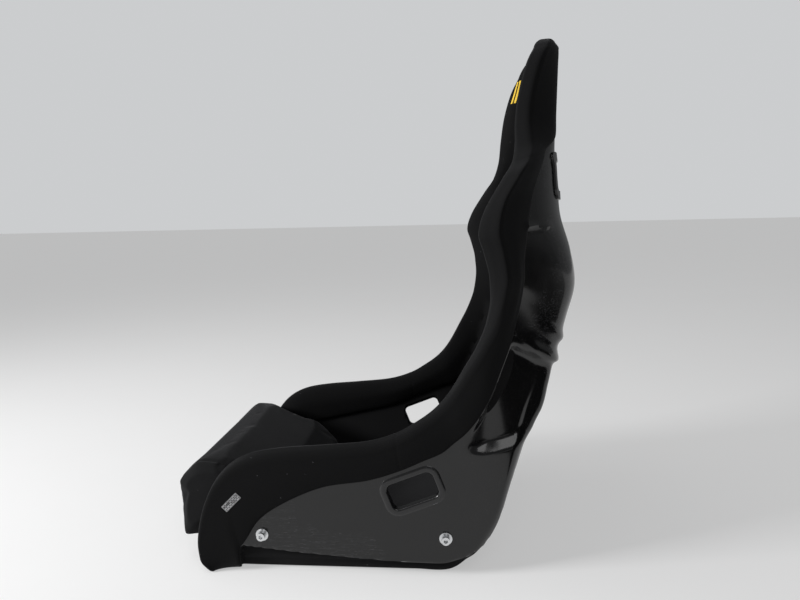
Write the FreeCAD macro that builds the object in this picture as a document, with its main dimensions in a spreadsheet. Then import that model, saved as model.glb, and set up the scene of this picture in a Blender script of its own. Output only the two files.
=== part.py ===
import FreeCAD, Part
import Sketcher
import os
from math import atan2, cos, hypot, pi, sin, sqrt, tan
from FreeCAD import Placement, Rotation, Vector

# Racing bucket seat. +Z is up and the occupant faces -Y. The origin is on the floor plane,
# midway between the four side mounting screws. All lengths are millimetres.

document = FreeCAD.newDocument("racing_seat")
sheet = document.addObject("Spreadsheet::Sheet", "Sizes")

sizes = {
    "steps_between": 3,
    "wall": 4,
    "gap": 0.3,
    "rim_roll": 12,
    "foam_edge": 1.5,
    "foam_outer": 5,
    "foam_inner_crown": 2,
    "cover_skin": 1.5,
    "lining": 4,
    "pan_sink": 0.4,
    "mount_spacing": 290,
    "mount_height": 65,
    "hip_half_width": 200,
    "screw_radius": 4,
    "screw_length": 18,
    "head_radius": 6.5,
    "head_height": 8,
    "socket_width": 6,
    "socket_depth": 4,
    "washer_radius": 10,
    "washer_thickness": 1.6,
    "insert_radius": 7,
    "insert_length": 20,
    "flange_radius": 17,
    "flange_thickness": 2.5,
    "thread_clearance": 0.05,
    "lap_slot_length": 74,
    "lap_slot_height": 40,
    "lap_slot_y": 95,
    "lap_slot_z": 141,
    "lap_slot_tilt": 21,
    "harness_slot_length": 74,
    "harness_slot_width": 46,
    "harness_slot_x": 88,
    "harness_slot_z": 616,
    "harness_slot_tilt": 7,
    "harness_slot_turn": 9,
    "relief_depth": 28,
    "relief_shift": 14,
    "lap_relief_shift": 12,
    "harness_relief_shift": 8,
    "frame_depth": 60,
    "crotch_slot_length": 80,
    "crotch_slot_width": 26,
    "crotch_slot_y": -50,
    "slot_corner": 9,
    "bezel_border": 13,
    "bezel_thickness": 3,
    "bezel_sleeve": 2,
    "thigh_cushion_width": 336,
    "thigh_front_y": -294,
    "thigh_front_low": 46,
    "thigh_front_high": 138,
    "thigh_crest_y": -262,
    "thigh_crest_z": 171,
    "thigh_slope_y": -230,
    "thigh_slope_z": 168,
    "thigh_break_y": -123,
    "thigh_break_z": 124,
    "thigh_rear_y": -84,
    "thigh_rear_z": 80,
    "thigh_sole_z": 12.5,
    "thigh_lip_y": -212,
    "thigh_lip_front_y": -240,
    "seat_cushion_width": 320,
    "seat_front_y": -18,
    "seat_front_z": 44,
    "seat_rear_y": 168,
    "seat_rear_z": 46,
    "seat_heel_y": 150,
    "cushion_round": 9,
    "back_cushion_half": 108,
    "back_cushion_pad": 24,
    "head_pad_half": 74,
    "head_pad_thickness": 16,
    "strip_thickness": 1.4,
    "strip_width": 34,
    "strip_spread": 180,
    "tag_length": 34,
    "tag_width": 12,
    "tag_thickness": 0.8,
    "tag_y": -190,
    "tag_z": 121,
    "tag_tilt": 45,
    "crown_pad_width": 150,
    "crown_pad_front_y": 298,
    "crown_pad_rear_y": 333,
    "crown_pad_low_z": 827.5,
    "crown_pad_high_z": 840,
    "crown_pad_round": 5.5,
    "badge_width": 70,
    "badge_height": 44,
    "badge_thickness": 1,
    "badge_z": 752,
    "badge_clearance": 2,
}

# Stations along the seat, from the front tip of the thigh bolster to the crown of the head
# rest. Each one is a plane through a point of the back's centre line and a point of the rim.
# The two cover columns are shares of the straight side wall that the bolster reaches down.
station_columns = (
    "back_y", "back_z", "rim_y", "rim_z", "corner_half", "corner_radius", "rim_half",
    "cover_out", "cover_in", "padding",
)
stations = {
    "tip": (-226, 0, -251, 26, 200, 10, 200, 0.95, 0.90, 12),
    "nose_low": (-221, 0, -252, 53, 200, 16, 200, 0.95, 0.80, 15),
    "nose": (-212, 0, -246, 87, 200, 22, 200, 0.95, 0.68, 18),
    "nose_high": (-200, 0, -235, 121, 200, 26, 200, 0.95, 0.57, 20),
    "brow": (-185, 0, -217, 154, 200, 28, 200, 0.94, 0.47, 21),
    "knee": (-165, 0, -191, 179, 200, 28, 200, 0.80, 0.43, 22),
    "thigh_front": (-140, 0, -158, 194, 200, 28, 200, 0.59, 0.40, 22),
    "thigh": (-100, 0, -110, 202, 200, 28, 200, 0.43, 0.37, 22),
    "thigh_mid": (-40, 0, -47, 207, 200, 28, 200, 0.29, 0.31, 22),
    "thigh_back": (30, 0, 24, 214, 200, 28, 200, 0.25, 0.25, 21),
    "hip": (95, 0, 70, 228, 200, 28, 200, 0.22, 0.20, 20),
    "hip_back": (150, 0, 100, 245, 200, 30, 200, 0.21, 0.20, 20),
    "tail_low": (188, 14, 124, 262, 200, 32, 200, 0.23, 0.23, 20),
    "tail": (209, 42, 142, 280, 200, 34, 202, 0.25, 0.30, 21),
    "tail_high": (229, 80, 158, 302, 199, 34, 208, 0.29, 0.39, 22),
    "sacrum": (243, 126, 176, 333, 197, 36, 216, 0.34, 0.49, 22),
    "ledge": (260, 184, 192, 360, 194, 40, 225, 0.36, 0.63, 22),
    "waist_low": (279, 238, 205, 387, 188, 46, 233, 0.34, 0.71, 22),
    "waist": (302, 287, 213, 407, 180, 50, 241, 0.30, 0.76, 23),
    "ridge": (315, 337, 220, 430, 170, 55, 251, 0.27, 0.80, 24),
    "blade_low": (334, 400, 225, 453, 159, 65, 262, 0.24, 0.81, 25),
    "blade": (349, 451, 227, 476, 150, 85, 272, 0.23, 0.80, 27),
    "blade_high": (346, 502, 221, 508, 146, 150, 279, 0.36, 0.85, 28),
    "shoulder": (333, 556, 215, 537, 142, 210, 280, 0.67, 0.87, 28),
    "shoulder_high": (330, 604, 223, 572, 134, 220, 263, 0.86, 0.85, 26),
    "neck_low": (326, 632, 247, 612, 124, 190, 236, 0.86, 0.85, 22),
    "neck": (323, 652, 261, 636, 112, 130, 202, 0.86, 0.85, 19),
    "neck_high": (323, 676, 266, 664, 98, 62, 166, 0.92, 0.84, 17),
    "head_low": (323, 706, 267, 700, 88, 36, 145, 0.95, 0.79, 16),
    "head": (324, 745, 273, 742, 86, 34, 139, 0.95, 0.81, 16),
    "head_high": (325, 785, 285, 783, 83, 30, 133, 0.95, 0.76, 15),
    "crown_low": (327, 811, 297, 809, 72, 22, 114, 0.95, 0.71, 13),
    "crown": (327, 826, 304, 824, 52, 14, 82, 0.95, 0.60, 11),
}


def column_letters(index):
    return chr(ord("D") + index)


for row, (alias, value) in enumerate(sizes.items(), 1):
    sheet.set(f"A{row}", alias)
    sheet.set(f"B{row}", str(value))
    sheet.setAlias(f"B{row}", alias)
for row, (name, values) in enumerate(stations.items(), 1):
    for index, (column, value) in enumerate(zip(station_columns, values)):
        cell = f"{column_letters(index)}{row}"
        sheet.set(cell, str(value))
        sheet.setAlias(cell, f"{name}_{column}")
document.recompute()


def size(alias):
    return float(sheet.get(alias))


def station_range(first, last):
    """Places along the seat between two named stations, several to each span."""
    names, steps = list(stations), int(size("steps_between"))
    start, stop = names.index(first) * steps, names.index(last) * steps
    return [step / steps for step in range(start, stop + 1)]


def smooth_value(column, place):
    """A Catmull-Rom curve through one column of the stations."""
    names = list(stations)
    low = min(int(place), len(names) - 2)
    share = place - low
    picks = [min(max(low + shift, 0), len(names) - 1) for shift in (-1, 0, 1, 2)]
    before, start, end, after = [size(f"{names[pick]}_{column}") for pick in picks]
    return 0.5 * (2 * start + (end - before) * share
                  + (2 * before - 5 * start + 4 * end - after) * share ** 2
                  + (3 * start - before - 3 * end + after) * share ** 3)


class Station:
    """One section plane: a flat back, a rounded corner and a straight side wall."""

    def __init__(self, place):
        for column in station_columns:
            setattr(self, column, smooth_value(column, place))
        if self.back_z < size("pan_sink"):
            self.back_z = -size("pan_sink")
        self.height = hypot(self.rim_y - self.back_y, self.rim_z - self.back_z)
        self.up_y = (self.rim_y - self.back_y) / self.height
        self.up_z = (self.rim_z - self.back_z) / self.height
        self.lean = atan2(self.height, self.rim_half - self.corner_half)
        self.slant = hypot(self.height, self.rim_half - self.corner_half) - size("rim_roll")
        self.tangent = self.corner_radius * tan(self.lean / 2)
        self.straight = self.slant - self.tangent

    def point(self, across, forward):
        return Vector(across, self.back_y + self.up_y * forward, self.back_z + self.up_z * forward)

    def on_wall(self, down, outward, side=1):
        """A point `down` from the shell's edge and `outward` from its outer skin."""
        along = self.slant - down
        across = self.corner_half + cos(self.lean) * along + sin(self.lean) * outward
        forward = sin(self.lean) * along - cos(self.lean) * outward
        return self.point(side * across, forward)

    def on_corner(self, share, outward, side=1):
        angle = share * self.lean - pi / 2
        reach = self.corner_radius + outward
        across = self.corner_half - self.tangent + reach * cos(angle)
        return self.point(side * across, self.corner_radius + reach * sin(angle))

    def reach(self, share):
        return share * self.straight


def line(start, end):
    return Part.LineSegment(start, end).toShape()


def curve(points):
    spline = Part.BSplineCurve()
    spline.interpolate(points)
    return spline.toShape()


def u_edges(station, down, outward):
    """The section's open U at one offset, from the edge at +X round to the edge at -X."""
    edges = []
    for side in (1, -1):
        wall_end = station.on_corner(1, outward, side)
        back_end = station.on_corner(0, outward, side)
        middle = station.on_corner(0.5, outward, side)
        wall = [station.on_wall(down, outward, side), wall_end]
        bend = [wall_end, middle, back_end]
        if side == 1:
            edges += [line(*wall), Part.Arc(*bend).toShape()]
            first_back = back_end
        else:
            edges += [line(first_back, back_end)]
            edges += [Part.Arc(*bend[::-1]).toShape(), line(*wall[::-1])]
    return edges


def u_band(station, down, outer, inner):
    """A closed U between two offsets from the outer skin."""
    ends = [line(station.on_wall(down, outer, side), station.on_wall(down, inner, side))
            for side in (-1, 1)]
    return Part.Wire(Part.__sortEdges__(
        u_edges(station, down, outer) + u_edges(station, down, inner) + ends))


def bolster_points(station, swell):
    """The rounded outside of a bolster that hugs the shell's edge, outer foot to inner foot."""
    out, down = station.reach(station.cover_out), station.reach(station.cover_in)
    wall, roll, pad = size("wall"), size("rim_roll"), station.padding
    outer, crown = size("foam_outer"), size("foam_inner_crown")
    diagonal = 0.7 * swell
    return [
        station.on_wall(out, size("foam_edge") + swell),
        station.on_wall(out / 2, outer + swell),
        station.on_wall(0.12 * out, outer + 1 + swell),
        station.on_wall(-0.6 * roll - diagonal, 0.5 * outer + diagonal),
        station.on_wall(-roll + 2 - swell, -wall - 0.4 * pad),
        station.on_wall(-0.5 * roll - diagonal, -wall - 0.92 * pad - diagonal),
        station.on_wall(0.35 * down, -wall - pad - crown - swell),
        station.on_wall(down, -wall - 0.55 * pad - swell),
    ]


def foam_section(station):
    out, down = station.reach(station.cover_out), station.reach(station.cover_in)
    gap, wall = size("gap"), size("wall")
    outside = bolster_points(station, 0)
    hug = [
        outside[-1],
        station.on_wall(down, -wall - gap),
        station.on_wall(-gap, -wall - gap),
        station.on_wall(-gap, gap),
        station.on_wall(out, gap),
        outside[0],
    ]
    return Part.Wire([curve(outside)] + [line(a, b) for a, b in zip(hug, hug[1:])])


def cover_section(station):
    gap, skin = size("gap"), size("cover_skin")
    inside = bolster_points(station, gap)
    outside = bolster_points(station, gap + skin)
    return Part.Wire([
        curve(outside),
        line(outside[-1], inside[-1]),
        curve(inside[::-1]),
        line(inside[0], outside[0]),
    ])


def panel_section(station, low, high, outer, inner):
    """A flat band on the back between two sideways positions and two offsets."""
    corners = [station.point(low, -outer), station.point(high, -outer),
               station.point(high, -inner), station.point(low, -inner)]
    return Part.makePolygon(corners + corners[:1])


def loft(places, section):
    return Part.makeLoft([section(Station(place)) for place in places], True, False)


def shape_feature(name, shape):
    feature = document.addObject("Part::Feature", name)
    feature.Shape = shape
    feature.Placement = Placement()
    feature.Label = name
    return feature


def boolean(kind, name, base, tool):
    result = document.addObject(kind, name)
    result.Base, result.Tool = base, tool
    result.Label = name
    return result


def compound(name, members):
    group = document.addObject("Part::Compound", name)
    group.Links = members
    group.Label = name
    return group


def primitive(kind, name, expressions, placement):
    solid = document.addObject(kind, name)
    for field, expression in expressions.items():
        solid.setExpression(field, expression)
    solid.Placement = placement
    return solid


def origin_plane(body, role):
    return next(item for item in body.Origin.OriginFeatures if item.Role == role)


def polygon_sketch(body, name, role, points):
    """A closed polygon whose corners are bound to pairs of expressions."""
    sketch = body.newObject("Sketcher::SketchObject", name)
    sketch.AttachmentSupport = [(origin_plane(body, role), "")]
    sketch.MapMode = "FlatFace"
    values = [Vector(sheet.evalExpression(u), sheet.evalExpression(v), 0) for u, v in points]
    count = len(values)
    for index in range(count):
        sketch.addGeometry(Part.LineSegment(values[index], values[(index + 1) % count]))
    for index in range(count):
        sketch.addConstraint(Sketcher.Constraint("Coincident", index, 2, (index + 1) % count, 1))
    for index, (u, v) in enumerate(points):
        for axis, text, value in (("DistanceX", u, values[index].x), ("DistanceY", v, values[index].y)):
            number = sketch.addConstraint(Sketcher.Constraint(axis, -1, 1, index, 1, value))
            sketch.setExpression(f"Constraints[{number}]", text)
    return sketch


def rectangle(length, height):
    return [(f"-({length}) / 2", f"-({height}) / 2"), (f"({length}) / 2", f"-({height}) / 2"),
            (f"({length}) / 2", f"({height}) / 2"), (f"-({length}) / 2", f"({height}) / 2")]


def pad(body, name, sketch, length, midplane=False, reverse=False):
    feature = body.newObject("PartDesign::Pad", name)
    feature.Profile = sketch
    feature.Midplane = midplane
    feature.Reversed = reverse
    feature.setExpression("Length", length)
    document.recompute()
    return feature


def round_edges(body, name, base, direction, radius, keep=lambda edge: True):
    """Fillets every straight edge of the last feature that runs along one direction."""
    names = []
    for index, edge in enumerate(base.Shape.Edges, 1):
        span = edge.Vertexes[-1].Point - edge.Vertexes[0].Point
        if span.Length > 0.1 and abs(span.normalize().dot(direction)) > 0.999 and keep(edge):
            names.append(f"Edge{index}")
    fillet = body.newObject("PartDesign::Fillet", name)
    fillet.Base = (base, names)
    fillet.setExpression("Radius", radius)
    document.recompute()
    return fillet


def new_body(name, placement=None):
    body = document.addObject("PartDesign::Body", name)
    body.Label = name
    body.Placement = placement or Placement()
    return body


def rounded_block(name, length, height, depth, radius, placement, offset=0):
    """A block with four rounded corners that starts `offset` along the placement's Z."""
    body = new_body(name, placement.multiply(Placement(Vector(0, 0, offset), Rotation())))
    outline = polygon_sketch(body, name + "_outline", "XY_Plane", rectangle(length, height))
    block = pad(body, name + "_block", outline, depth)
    round_edges(body, name + "_corners", block, Vector(0, 0, 1), radius)
    return body


def slot_cutter(name, length, height, placement):
    grow = "2 * (Sizes.bezel_sleeve + Sizes.gap)"
    return rounded_block(name, f"{length} + {grow}", f"{height} + {grow}", "20 * Sizes.wall",
                         "Sizes.slot_corner + Sizes.bezel_sleeve + Sizes.gap", placement,
                         -10 * size("wall"))


def slot_frame(name, length, height, placement, sleeve=0):
    """A rounded frame round a slot, with a sleeve that lines the hole in the shell."""
    border, grow = "2 * Sizes.bezel_border", "2 * Sizes.bezel_sleeve"
    solid = rounded_block(name + "_flange", f"{length} + {border}", f"{height} + {border}",
                          "Sizes.bezel_thickness", "Sizes.slot_corner + Sizes.bezel_border / 2",
                          placement)
    if sleeve:
        spigot = rounded_block(name + "_spigot", f"{length} + {grow}", f"{height} + {grow}",
                               f"{sleeve} + Sizes.bezel_thickness / 2",
                               "Sizes.slot_corner + Sizes.bezel_sleeve", placement, -sleeve)
        solid = boolean("Part::Fuse", name + "_solid", solid, spigot)
    opening = rounded_block(name + "_opening", length, height, "20 * Sizes.wall",
                            "Sizes.slot_corner", placement, -10 * size("wall"))
    return boolean("Part::Cut", name, solid, opening)


def side_placement(side, x, y, z, tilt):
    """Local Z points out of the seat's side, and local X runs rearward, tilted upward."""
    facing = Rotation(Vector(0, 1, 0), Vector(0, 0, 1), Vector(1, 0, 0), "ZXY")
    if side < 0:
        facing = Rotation(Vector(0, -1, 0), Vector(0, 0, 1), Vector(-1, 0, 0), "ZXY")
    turned = facing.multiply(Rotation(Vector(0, 0, 1), side * tilt))
    return Placement(Vector(side * x, y, z), turned)


# ---- the moulded shell --------------------------------------------------------------------
whole_seat = station_range("tip", "crown")
shell_blank = shape_feature("shell_blank", loft(
    whole_seat, lambda station: u_band(station, 0, 0, -size("wall"))))
floor_block = primitive("Part::Box", "floor_block",
                        {"Length": "3 * Sizes.hip_half_width", "Width": "3 * Sizes.hip_half_width",
                         "Height": "10"},
                        Placement(Vector(-300, -300, -10), Rotation()))
shell_on_floor = boolean("Part::Cut", "shell_on_floor", shell_blank, floor_block)

lap_x = size("hip_half_width") + size("gap")
slot_tools = []
for side, word in ((1, "left"), (-1, "right")):
    slot_tools.append(slot_cutter(
        f"lap_slot_cutter_{word}", "Sizes.lap_slot_length", "Sizes.lap_slot_height",
        side_placement(side, lap_x, size("lap_slot_y"), size("lap_slot_z"), size("lap_slot_tilt"))))


def harness_placement(side, offset):
    """Local Z points out of the rounded back beside the spine; local X points sideways."""
    share = (size("harness_slot_z") - size("shoulder_high_back_z")) / (
        size("neck_low_back_z") - size("shoulder_high_back_z"))
    station = Station(list(stations).index("shoulder_high") + share)
    beyond_flat = size("harness_slot_x") - (station.corner_half - station.tangent)
    drop = station.corner_radius - sqrt(station.corner_radius ** 2 - beyond_flat ** 2)
    turned = Rotation(Vector(0, 0, 1), -side * size("harness_slot_turn")).multiply(
        Rotation(Vector(1, 0, 0), size("harness_slot_tilt") - 90))
    centre = Vector(side * size("harness_slot_x"), station.back_y - drop, size("harness_slot_z"))
    return Placement(centre + turned.multVec(Vector(0, 0, offset)), turned)


for side, word in ((1, "left"), (-1, "right")):
    slot_tools.append(slot_cutter(
        f"harness_slot_cutter_{word}", "Sizes.harness_slot_length", "Sizes.harness_slot_width",
        harness_placement(side, 0)))
crotch_placement = Placement(Vector(0, size("crotch_slot_y"), size("wall")), Rotation())
slot_tools.append(slot_cutter("crotch_slot_cutter", "Sizes.crotch_slot_length",
                              "Sizes.crotch_slot_width", crotch_placement))
slot_group = compound("slot_cutters", slot_tools)

# ---- side mounting hardware: bonded insert, washer and socket screw, four of each ----------


def mount_spots():
    half = size("mount_spacing") / 2
    return [(side, side * size("hip_half_width"), end * half, size("mount_height"))
            for side in (1, -1) for end in (1, -1)]


def outward(side, x, y, z, offset):
    """A placement whose local Z points out of the side, `offset` beyond the skin."""
    turn = Rotation(Vector(0, 1, 0), 90 * side)
    return Placement(Vector(x + side * offset, y, z), turn)


screws, washers, inserts, bores = [], [], [], []
for number, (side, x, y, z) in enumerate(mount_spots(), 1):
    washer_top = size("gap") + size("washer_thickness")
    insert_base = -size("insert_length")
    flange_base = -size("wall") - size("gap") - size("flange_thickness")
    bore_radius = "Sizes.screw_radius + Sizes.thread_clearance"

    shank = primitive("Part::Cylinder", f"screw_shank_{number}",
                      {"Radius": "Sizes.screw_radius", "Height": "Sizes.screw_length + Sizes.gap"},
                      outward(side, x, y, z, washer_top - size("screw_length")))
    head = primitive("Part::Cylinder", f"screw_head_{number}",
                     {"Radius": "Sizes.head_radius", "Height": "Sizes.head_height"},
                     outward(side, x, y, z, washer_top + 0.02))
    socket = primitive("Part::Prism", f"screw_socket_{number}",
                       {"Circumradius": "Sizes.socket_width / sqrt(3)",
                        "Height": "Sizes.socket_depth + 1"},
                       outward(side, x, y, z, washer_top + size("head_height") - size("socket_depth")))
    blank = boolean("Part::Fuse", f"screw_blank_{number}", shank, head)
    screws.append(boolean("Part::Cut", f"mount_screw_{number}", blank, socket))

    disc = primitive("Part::Cylinder", f"washer_disc_{number}",
                     {"Radius": "Sizes.washer_radius", "Height": "Sizes.washer_thickness"},
                     outward(side, x, y, z, size("gap") / 2))
    eye = primitive("Part::Cylinder", f"washer_eye_{number}",
                    {"Radius": bore_radius, "Height": "4 * Sizes.washer_thickness"},
                    outward(side, x, y, z, -size("washer_thickness")))
    washers.append(boolean("Part::Cut", f"mount_washer_{number}", disc, eye))

    barrel = primitive("Part::Cylinder", f"insert_barrel_{number}",
                       {"Radius": "Sizes.insert_radius", "Height": "Sizes.insert_length"},
                       outward(side, x, y, z, insert_base))
    flange = primitive("Part::Cylinder", f"insert_flange_{number}",
                       {"Radius": "Sizes.flange_radius", "Height": "Sizes.flange_thickness"},
                       outward(side, x, y, z, flange_base))
    bore = primitive("Part::Cylinder", f"insert_bore_{number}",
                     {"Radius": bore_radius, "Height": "2 * Sizes.insert_length"},
                     outward(side, x, y, z, 1.5 * insert_base))
    body_blank = boolean("Part::Fuse", f"insert_blank_{number}", barrel, flange)
    inserts.append(boolean("Part::Cut", f"mount_insert_{number}", body_blank, bore))

    bores.append(primitive("Part::Cylinder", f"insert_hole_{number}",
                           {"Radius": "Sizes.insert_radius + Sizes.gap / 2", "Height": "4 * Sizes.wall"},
                           outward(side, x, y, z, -2 * size("wall"))))

bore_group = compound("insert_holes", bores)
shell_slotted = boolean("Part::Cut", "shell_slotted", shell_on_floor, slot_group)
shell = boolean("Part::Cut", "shell", shell_slotted, bore_group)
kept = [
    shell,
    compound("mount_screws", screws),
    compound("mount_washers", washers),
    compound("mount_inserts", inserts),
]

# ---- slot bezels ---------------------------------------------------------------------------
through_wall = size("wall") + size("gap")


def lap_placement(side, x):
    return side_placement(side, x, size("lap_slot_y"), size("lap_slot_z"), size("lap_slot_tilt"))


def back_band(name, outer, inner):
    """A curved sheet that follows the upper back between two offsets from its skin."""
    return shape_feature(name, loft(
        station_range("shoulder", "neck_high"),
        lambda station: u_band(station, station.straight / 2, outer, inner)))


def curved_frame(name, side, band):
    """A slot frame that is bent to the upper back: the part of one band inside a straight frame."""
    border = "2 * Sizes.bezel_border"
    blank = rounded_block(name + "_blank", f"Sizes.harness_slot_length + {border}",
                          f"Sizes.harness_slot_width + {border}", "Sizes.frame_depth",
                          "Sizes.slot_corner + Sizes.bezel_border / 2",
                          harness_placement(side, 0), -size("frame_depth") / 2)
    opening = rounded_block(name + "_opening", "Sizes.harness_slot_length",
                            "Sizes.harness_slot_width", "2 * Sizes.frame_depth",
                            "Sizes.slot_corner", harness_placement(side, 0), -size("frame_depth"))
    frame = boolean("Part::Cut", name + "_frame", blank, opening)
    return boolean("Part::Common", name, frame, band)


bezel_band = back_band("bezel_band", size("gap") + size("bezel_thickness"), size("gap"))
retainer_band = back_band("retainer_band", -through_wall, -through_wall - size("bezel_thickness"))
for side, word in ((1, "left"), (-1, "right")):
    inner_x = size("hip_half_width") - through_wall - size("bezel_thickness")
    kept += [
        slot_frame(f"lap_slot_bezel_{word}", "Sizes.lap_slot_length", "Sizes.lap_slot_height",
                   lap_placement(side, lap_x), sleeve=through_wall),
        slot_frame(f"lap_slot_retainer_{word}", "Sizes.lap_slot_length", "Sizes.lap_slot_height",
                   lap_placement(side, inner_x)),
        curved_frame(f"harness_bezel_{word}", side, bezel_band),
        curved_frame(f"harness_retainer_{word}", side, retainer_band),
    ]
crotch_at = Placement(Vector(0, size("crotch_slot_y"), size("wall") + size("gap")), Rotation())
kept.append(slot_frame("crotch_slot_bezel", "Sizes.crotch_slot_length", "Sizes.crotch_slot_width",
                       crotch_at, sleeve=size("wall") - size("gap")))

# ---- linings: thin padded fabric glued to the inside of the shell ---------------------------
lining_outer = -size("wall") - size("gap")
lining_inner = lining_outer - size("lining")


def lining_section(station):
    down = station.reach(station.cover_in) + 1.5
    return u_band(station, down, lining_outer, lining_inner)


relief = compound("insert_relief", [
    primitive("Part::Cylinder", f"insert_relief_{number}",
              {"Radius": "Sizes.flange_radius + 1", "Height": "6 * Sizes.wall"},
              outward(side, x, y, z, -6 * size("wall")))
    for number, (side, x, y, z) in enumerate(mount_spots(), 1)])
border = "2 * Sizes.bezel_border + 2"


def frame_relief(name, length, height, placement):
    return rounded_block(name, f"{length} + {border}", f"{height} + {border}", "Sizes.relief_depth",
                         "Sizes.slot_corner", placement, -size("relief_shift"))


reliefs = [relief, frame_relief("crotch_relief", "Sizes.crotch_slot_length",
                                "Sizes.crotch_slot_width", crotch_placement)]
for side, word in ((1, "left"), (-1, "right")):
    reliefs.append(frame_relief(
        f"lap_relief_{word}", "Sizes.lap_slot_length", "Sizes.lap_slot_height",
        lap_placement(side, lap_x - size("lap_relief_shift"))))
    reliefs.append(frame_relief(
        f"harness_relief_{word}", "Sizes.harness_slot_length", "Sizes.harness_slot_width",
        harness_placement(side, -size("harness_relief_shift"))))
relief_group = compound("lining_relief", reliefs)

for name, first, last in (("pan_lining", "nose", "tail"), ("back_lining", "tail", "neck"),
                          ("head_lining", "neck", "crown_low")):
    blank = shape_feature(name + "_blank", loft(station_range(first, last), lining_section))
    kept.append(boolean("Part::Cut", name, blank, relief_group))

# ---- bolsters: foam that hugs the shell's edge, and its sewn cover --------------------------
foam_ranges = {
    "thigh_foam": ("tip", "hip"),
    "torso_foam": ("hip", "ridge"),
    "shoulder_foam": ("ridge", "neck"),
    "head_foam": ("neck", "crown"),
}
cover_ranges = {
    "thigh_cover": ("tip", "hip"),
    "torso_cover": ("hip", "neck"),
    "head_cover": ("neck", "crown"),
}
for ranges, section in ((foam_ranges, foam_section), (cover_ranges, cover_section)):
    for name, (first, last) in ranges.items():
        left = shape_feature(name + "_left", loft(station_range(first, last), section))
        right = document.addObject("Part::Mirroring", name + "_right")
        right.Source = left
        right.Normal = Vector(1, 0, 0)
        right.Label = name + "_right"
        kept += [left, right]

# ---- removable cushions ---------------------------------------------------------------------


def cushion_body(name, points, width, rounding="Sizes.cushion_round"):
    body = new_body(name)
    outline = polygon_sketch(body, name + "_outline", "YZ_Plane", points)
    block = pad(body, name + "_block", outline, width, midplane=True)
    round_edges(body, name + "_rounding", block, Vector(1, 0, 0), rounding,
                keep=lambda edge: edge.CenterOfMass.z > size("thigh_front_low") / 2)
    return body


def corners(*pairs):
    return [(f"Sizes.{u}", f"Sizes.{v}") for u, v in pairs]


kept.append(cushion_body("thigh_cushion", corners(
    ("thigh_lip_y", "thigh_sole_z"), ("thigh_rear_y", "thigh_sole_z"),
    ("thigh_rear_y", "thigh_rear_z"), ("thigh_break_y", "thigh_break_z"),
    ("thigh_slope_y", "thigh_slope_z"), ("thigh_crest_y", "thigh_crest_z"),
    ("thigh_front_y", "thigh_front_high"), ("thigh_front_y", "thigh_front_low"),
    ("thigh_lip_front_y", "thigh_front_low")), "Sizes.thigh_cushion_width"))
kept.append(cushion_body("seat_cushion", corners(
    ("seat_front_y", "thigh_sole_z"), ("seat_heel_y", "thigh_sole_z"),
    ("seat_rear_y", "seat_rear_z"), ("seat_front_y", "seat_front_z")),
    "Sizes.seat_cushion_width"))

kept.append(cushion_body("crown_pad", corners(
    ("crown_pad_front_y", "crown_pad_low_z"), ("crown_pad_rear_y", "crown_pad_low_z"),
    ("crown_pad_rear_y", "crown_pad_high_z"), ("crown_pad_front_y", "crown_pad_high_z")),
    "Sizes.crown_pad_width", "Sizes.crown_pad_round"))

# The strips and pads on the back follow its stations, at offsets from the lining.
strip = size("strip_thickness")
hook_outer = lining_inner - size("gap")
loop_outer = hook_outer - strip - size("gap")
pad_outer = loop_outer - strip - size("gap")


def on_back(name, names, low, high, outer, inner):
    return shape_feature(name, loft(names, lambda s: panel_section(s, low, high, outer, inner)))


cushion_stations = station_range("waist_low", "blade_high")
strip_stations = station_range("waist", "blade")
head_stations = station_range("head_low", "head_high")
half = size("back_cushion_half")
kept.append(on_back("back_cushion", cushion_stations, -half, half, pad_outer,
                    pad_outer - size("back_cushion_pad")))
head_half = size("head_pad_half")
kept.append(on_back("head_pad", head_stations, -head_half, head_half, pad_outer,
                    pad_outer - size("head_pad_thickness")))
for place, names, spread in (("back", strip_stations, 60), ("head", head_stations, 40)):
    for kind, outer in (("hook", hook_outer), ("loop", loop_outer)):
        half_strip = size("strip_width") / 2
        pair = [on_back(f"{place}_{kind}_strip_{word}", names, side * spread - half_strip,
                        side * spread + half_strip, outer, outer - strip)
                for side, word in ((1, "left"), (-1, "right"))]
        kept.append(compound(f"{place}_{kind}_strips", pair))

pan_top = -size("pan_sink") - lining_inner


def pan_strips(name, height, spans):
    pair = []
    for number, (front, rear) in enumerate(spans, 1):
        for side, word in ((1, "left"), (-1, "right")):
            x = side * size("strip_spread") / 2 - size("strip_width") / 2
            item = primitive("Part::Box", f"{name}_{number}_{word}",
                             {"Length": "Sizes.strip_width", "Height": "Sizes.strip_thickness"},
                             Placement(Vector(x, front, height), Rotation()))
            item.Width = rear - front
            pair.append(item)
    return compound(name, pair)


thigh_span = (size("thigh_lip_y") + 20, size("thigh_rear_y") - 15)
seat_span = (size("seat_front_y") + 20, size("seat_heel_y") - 20)
hook_z = pan_top + size("gap")
loop_z = size("thigh_sole_z") - strip
kept += [
    pan_strips("pan_hook_strips", hook_z, (thigh_span, seat_span)),
    pan_strips("thigh_loop_strips", loop_z, (thigh_span,)),
    pan_strips("seat_loop_strips", loop_z, (seat_span,)),
]

# ---- small sewn pieces ----------------------------------------------------------------------
tag_x = size("hip_half_width") + size("foam_outer") + 1 + size("gap") + size("cover_skin") + 1
tag = new_body("woven_tag", side_placement(1, tag_x, size("tag_y"), size("tag_z"), size("tag_tilt")))
tag_outline = polygon_sketch(tag, "woven_tag_outline", "XY_Plane",
                             rectangle("Sizes.tag_length", "Sizes.tag_width"))
pad(tag, "woven_tag_cloth", tag_outline, "Sizes.tag_thickness")
kept.append(tag)

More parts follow.
